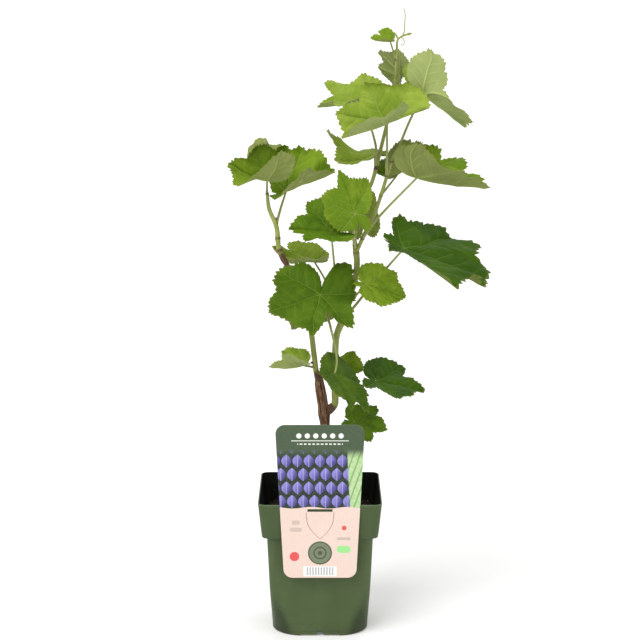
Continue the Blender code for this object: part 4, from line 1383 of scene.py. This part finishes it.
def make_card():
    """The hang card: a thin plate with softened edges, wider at the top, its slot and its hook."""
    finish = [card_finish()]
    back, front = -(RIM_HALF + GAP), CARD_FACE
    arc = np.linspace(0, pi / 2, 15)
    inner = CARD_CORNER * np.column_stack((np.cos(arc), np.sin(arc))) - CARD_CORNER
    outline = []
    for half, height, flip, turned in (
        (CARD_TOP_HALF, CARD_TOP, (1, 1), 1), (CARD_TOP_HALF, CARD_TOP, (-1, 1), -1),
        (CARD_BOTTOM_HALF, -CARD_BOTTOM, (-1, -1), 1), (CARD_BOTTOM_HALF, -CARD_BOTTOM, (1, -1), -1),
    ):
        outline.append(((inner + (half, height)) * flip)[::turned])
    outline = np.concatenate(outline)
    away = unit_rows(outline - (0.0, (CARD_TOP + CARD_BOTTOM) / 2))
    rings = []
    for y, inset in ((back, SOFT_EDGE), (back - SOFT_EDGE, 0.0), (front + SOFT_EDGE, 0.0),
                     (front, SOFT_EDGE)):
        rings.append(np.insert(outline - inset * away, 1, y, axis=1))
    card = solid("hang_card_printed", *stack(rings), finish)
    wide, tall = SLOT
    top = POT_HEIGHT - SLOT_DEPTH
    combine(card, "DIFFERENCE", block((-wide / 2, front - CUT_PAST, top - tall),
                                      (wide / 2, back + 0.2, top), finish))
    low = POT_HEIGHT + GAP
    leg = -(BAND_FOOT_HALF - WALL) - HOOK_PLAY
    far = leg + HOOK_THICK
    combine(card, "UNION",
            block((-HOOK_HALF, front + 0.2, low), (HOOK_HALF, far, low + HOOK_THICK), finish),
            block((-HOOK_HALF, leg, low - HOOK_DROP), (HOOK_HALF, far, low + HOOK_THICK - 0.2), finish))
    card.data.shade_smooth()
    card.data.set_sharp_from_angle(angle=radians(25))
    finish_piece(card, "card", "hang_card")


# ---------------------------------------------------------------- stage


def make_stage():
    """A pale floor, soft lights and the camera."""
    sizes = bpy.context.scene.vine_sizes
    made = Finish("pale_floor", 0.1, emission_color=(1.0, 1.0, 1.0, 1.0),
                  emission_strength=sizes.floor_glow)
    cloud = made.noise(made.place(), 3.0)
    made.shade(base_color=made.blend(cloud, rgb(254, 254, 253), rgb(251, 251, 250)),
               roughness=cloud.rise(0.3, 0.7, 0.8, 0.9))
    corners = [(x * FLOOR_REACH, y * FLOOR_REACH, 0) for x, y in ((-1, -1), (1, -1), (1, 1), (-1, 1))]
    floor = solid("floor", corners, [(0, 1, 2), (0, 2, 3)], [made.material])
    floor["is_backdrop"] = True
    scene = bpy.context.scene
    scene.world = bpy.data.worlds.new("studio")
    scene.world.use_nodes = True
    book = Book(scene.world.node_tree)
    seen = book.add("ShaderNodeLightPath", output="Is Camera Ray")
    sky = book.tree.nodes["Background"].inputs
    book.put((1, 1, 1, 1), sky["Color"])
    book.put(sizes.sky_strength + seen * (1 - sizes.sky_strength), sky["Strength"])
    scene.view_settings.view_transform = "Standard"
    for name, place, spread, share in LAMPS:
        light = bpy.data.lights.new(name, "SUN")
        light.angle, light.energy = radians(spread), share * sizes.key_strength
        lamp = link_object(name, light)
        lamp.location = place
        lamp.rotation_euler = lamp.location.to_track_quat("Z", "Y").to_euler()
    lens = bpy.data.cameras.new("camera")
    lens.lens, lens.sensor_width = CAMERA_LENS, 36.0
    camera = link_object("camera", lens)
    camera.location = CAMERA_PLACE
    camera.rotation_euler = (radians(90 - CAMERA_DOWN), 0.0, 0.0)
    scene.camera = camera


# ---------------------------------------------------------------- add-on


def size(name, text, default, **limits):
    return bpy.props.FloatProperty(name=name, description=text, default=default, **limits)


class VineSizes(bpy.types.PropertyGroup):
    """Sizes that a user may change."""

    leaf_thickness: size("Leaf thickness", "Thickness of a leaf's blade between its ribs",
                         0.0005, min=0.0001, max=0.001, precision=5, unit="LENGTH")
    bark_relief: size("Bark relief", "Height of the bark's plates over its cracks",
                      0.0017, min=0.0, max=0.003, precision=5, unit="LENGTH")
    floor_glow: size("Floor glow", "Light that the floor gives of itself, which softens shadows",
                     0.12, min=0.0)
    key_strength: size("Key light", "Strength of the main studio light", 1.8, min=0.0)
    sky_strength: size("Surround", "Strength of the even light all round", 0.47, min=0.0)


def piece_operator(name, label, make):
    """An operator that makes one piece or group of like pieces."""
    def execute(self, context):
        make()
        return {"FINISHED"}

    return type("VINE_OT_" + name, (bpy.types.Operator,), {
        "bl_idname": "vine." + name, "bl_label": label, "__doc__": make.__doc__,
        "execute": execute,
    })


OPERATORS = (
    piece_operator("stage", "Stage", make_stage),
    piece_operator("pot", "Pot", make_pot),
    piece_operator("mix", "Potting mix", make_mix),
    piece_operator("card", "Hang card", make_card),
    piece_operator("trunk", "Woody stem", make_trunk),
    piece_operator("shoots", "Shoots", make_shoots),
    piece_operator("leaves", "Leaves", make_leaves),
)


class VINE_PT_panel(bpy.types.Panel):
    """Lists the pieces and their sizes."""

    bl_label = "Potted grapevine"
    bl_space_type = "VIEW_3D"
    bl_region_type = "UI"
    bl_category = "Grapevine"

    def draw(self, context):
        for name in VineSizes.__annotations__:
            self.layout.prop(context.scene.vine_sizes, name)
        for operator in OPERATORS:
            self.layout.operator(operator.bl_idname)


CLASSES = (VineSizes, *OPERATORS, VINE_PT_panel)


def register():
    for kind in CLASSES:
        bpy.utils.register_class(kind)
    bpy.types.Scene.vine_sizes = bpy.props.PointerProperty(type=VineSizes)


def unregister():
    del bpy.types.Scene.vine_sizes
    for kind in reversed(CLASSES):
        bpy.utils.unregister_class(kind)


def main():
    register()
    for operator in OPERATORS:
        group, name = operator.bl_idname.split(".")
        getattr(getattr(bpy.ops, group), name)()
    sizes = {"solids": [list(corner) for corner in SOLID_BOX],
             "pieces": [list(corner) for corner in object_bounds()]}


if __name__ == "__main__":
    main()
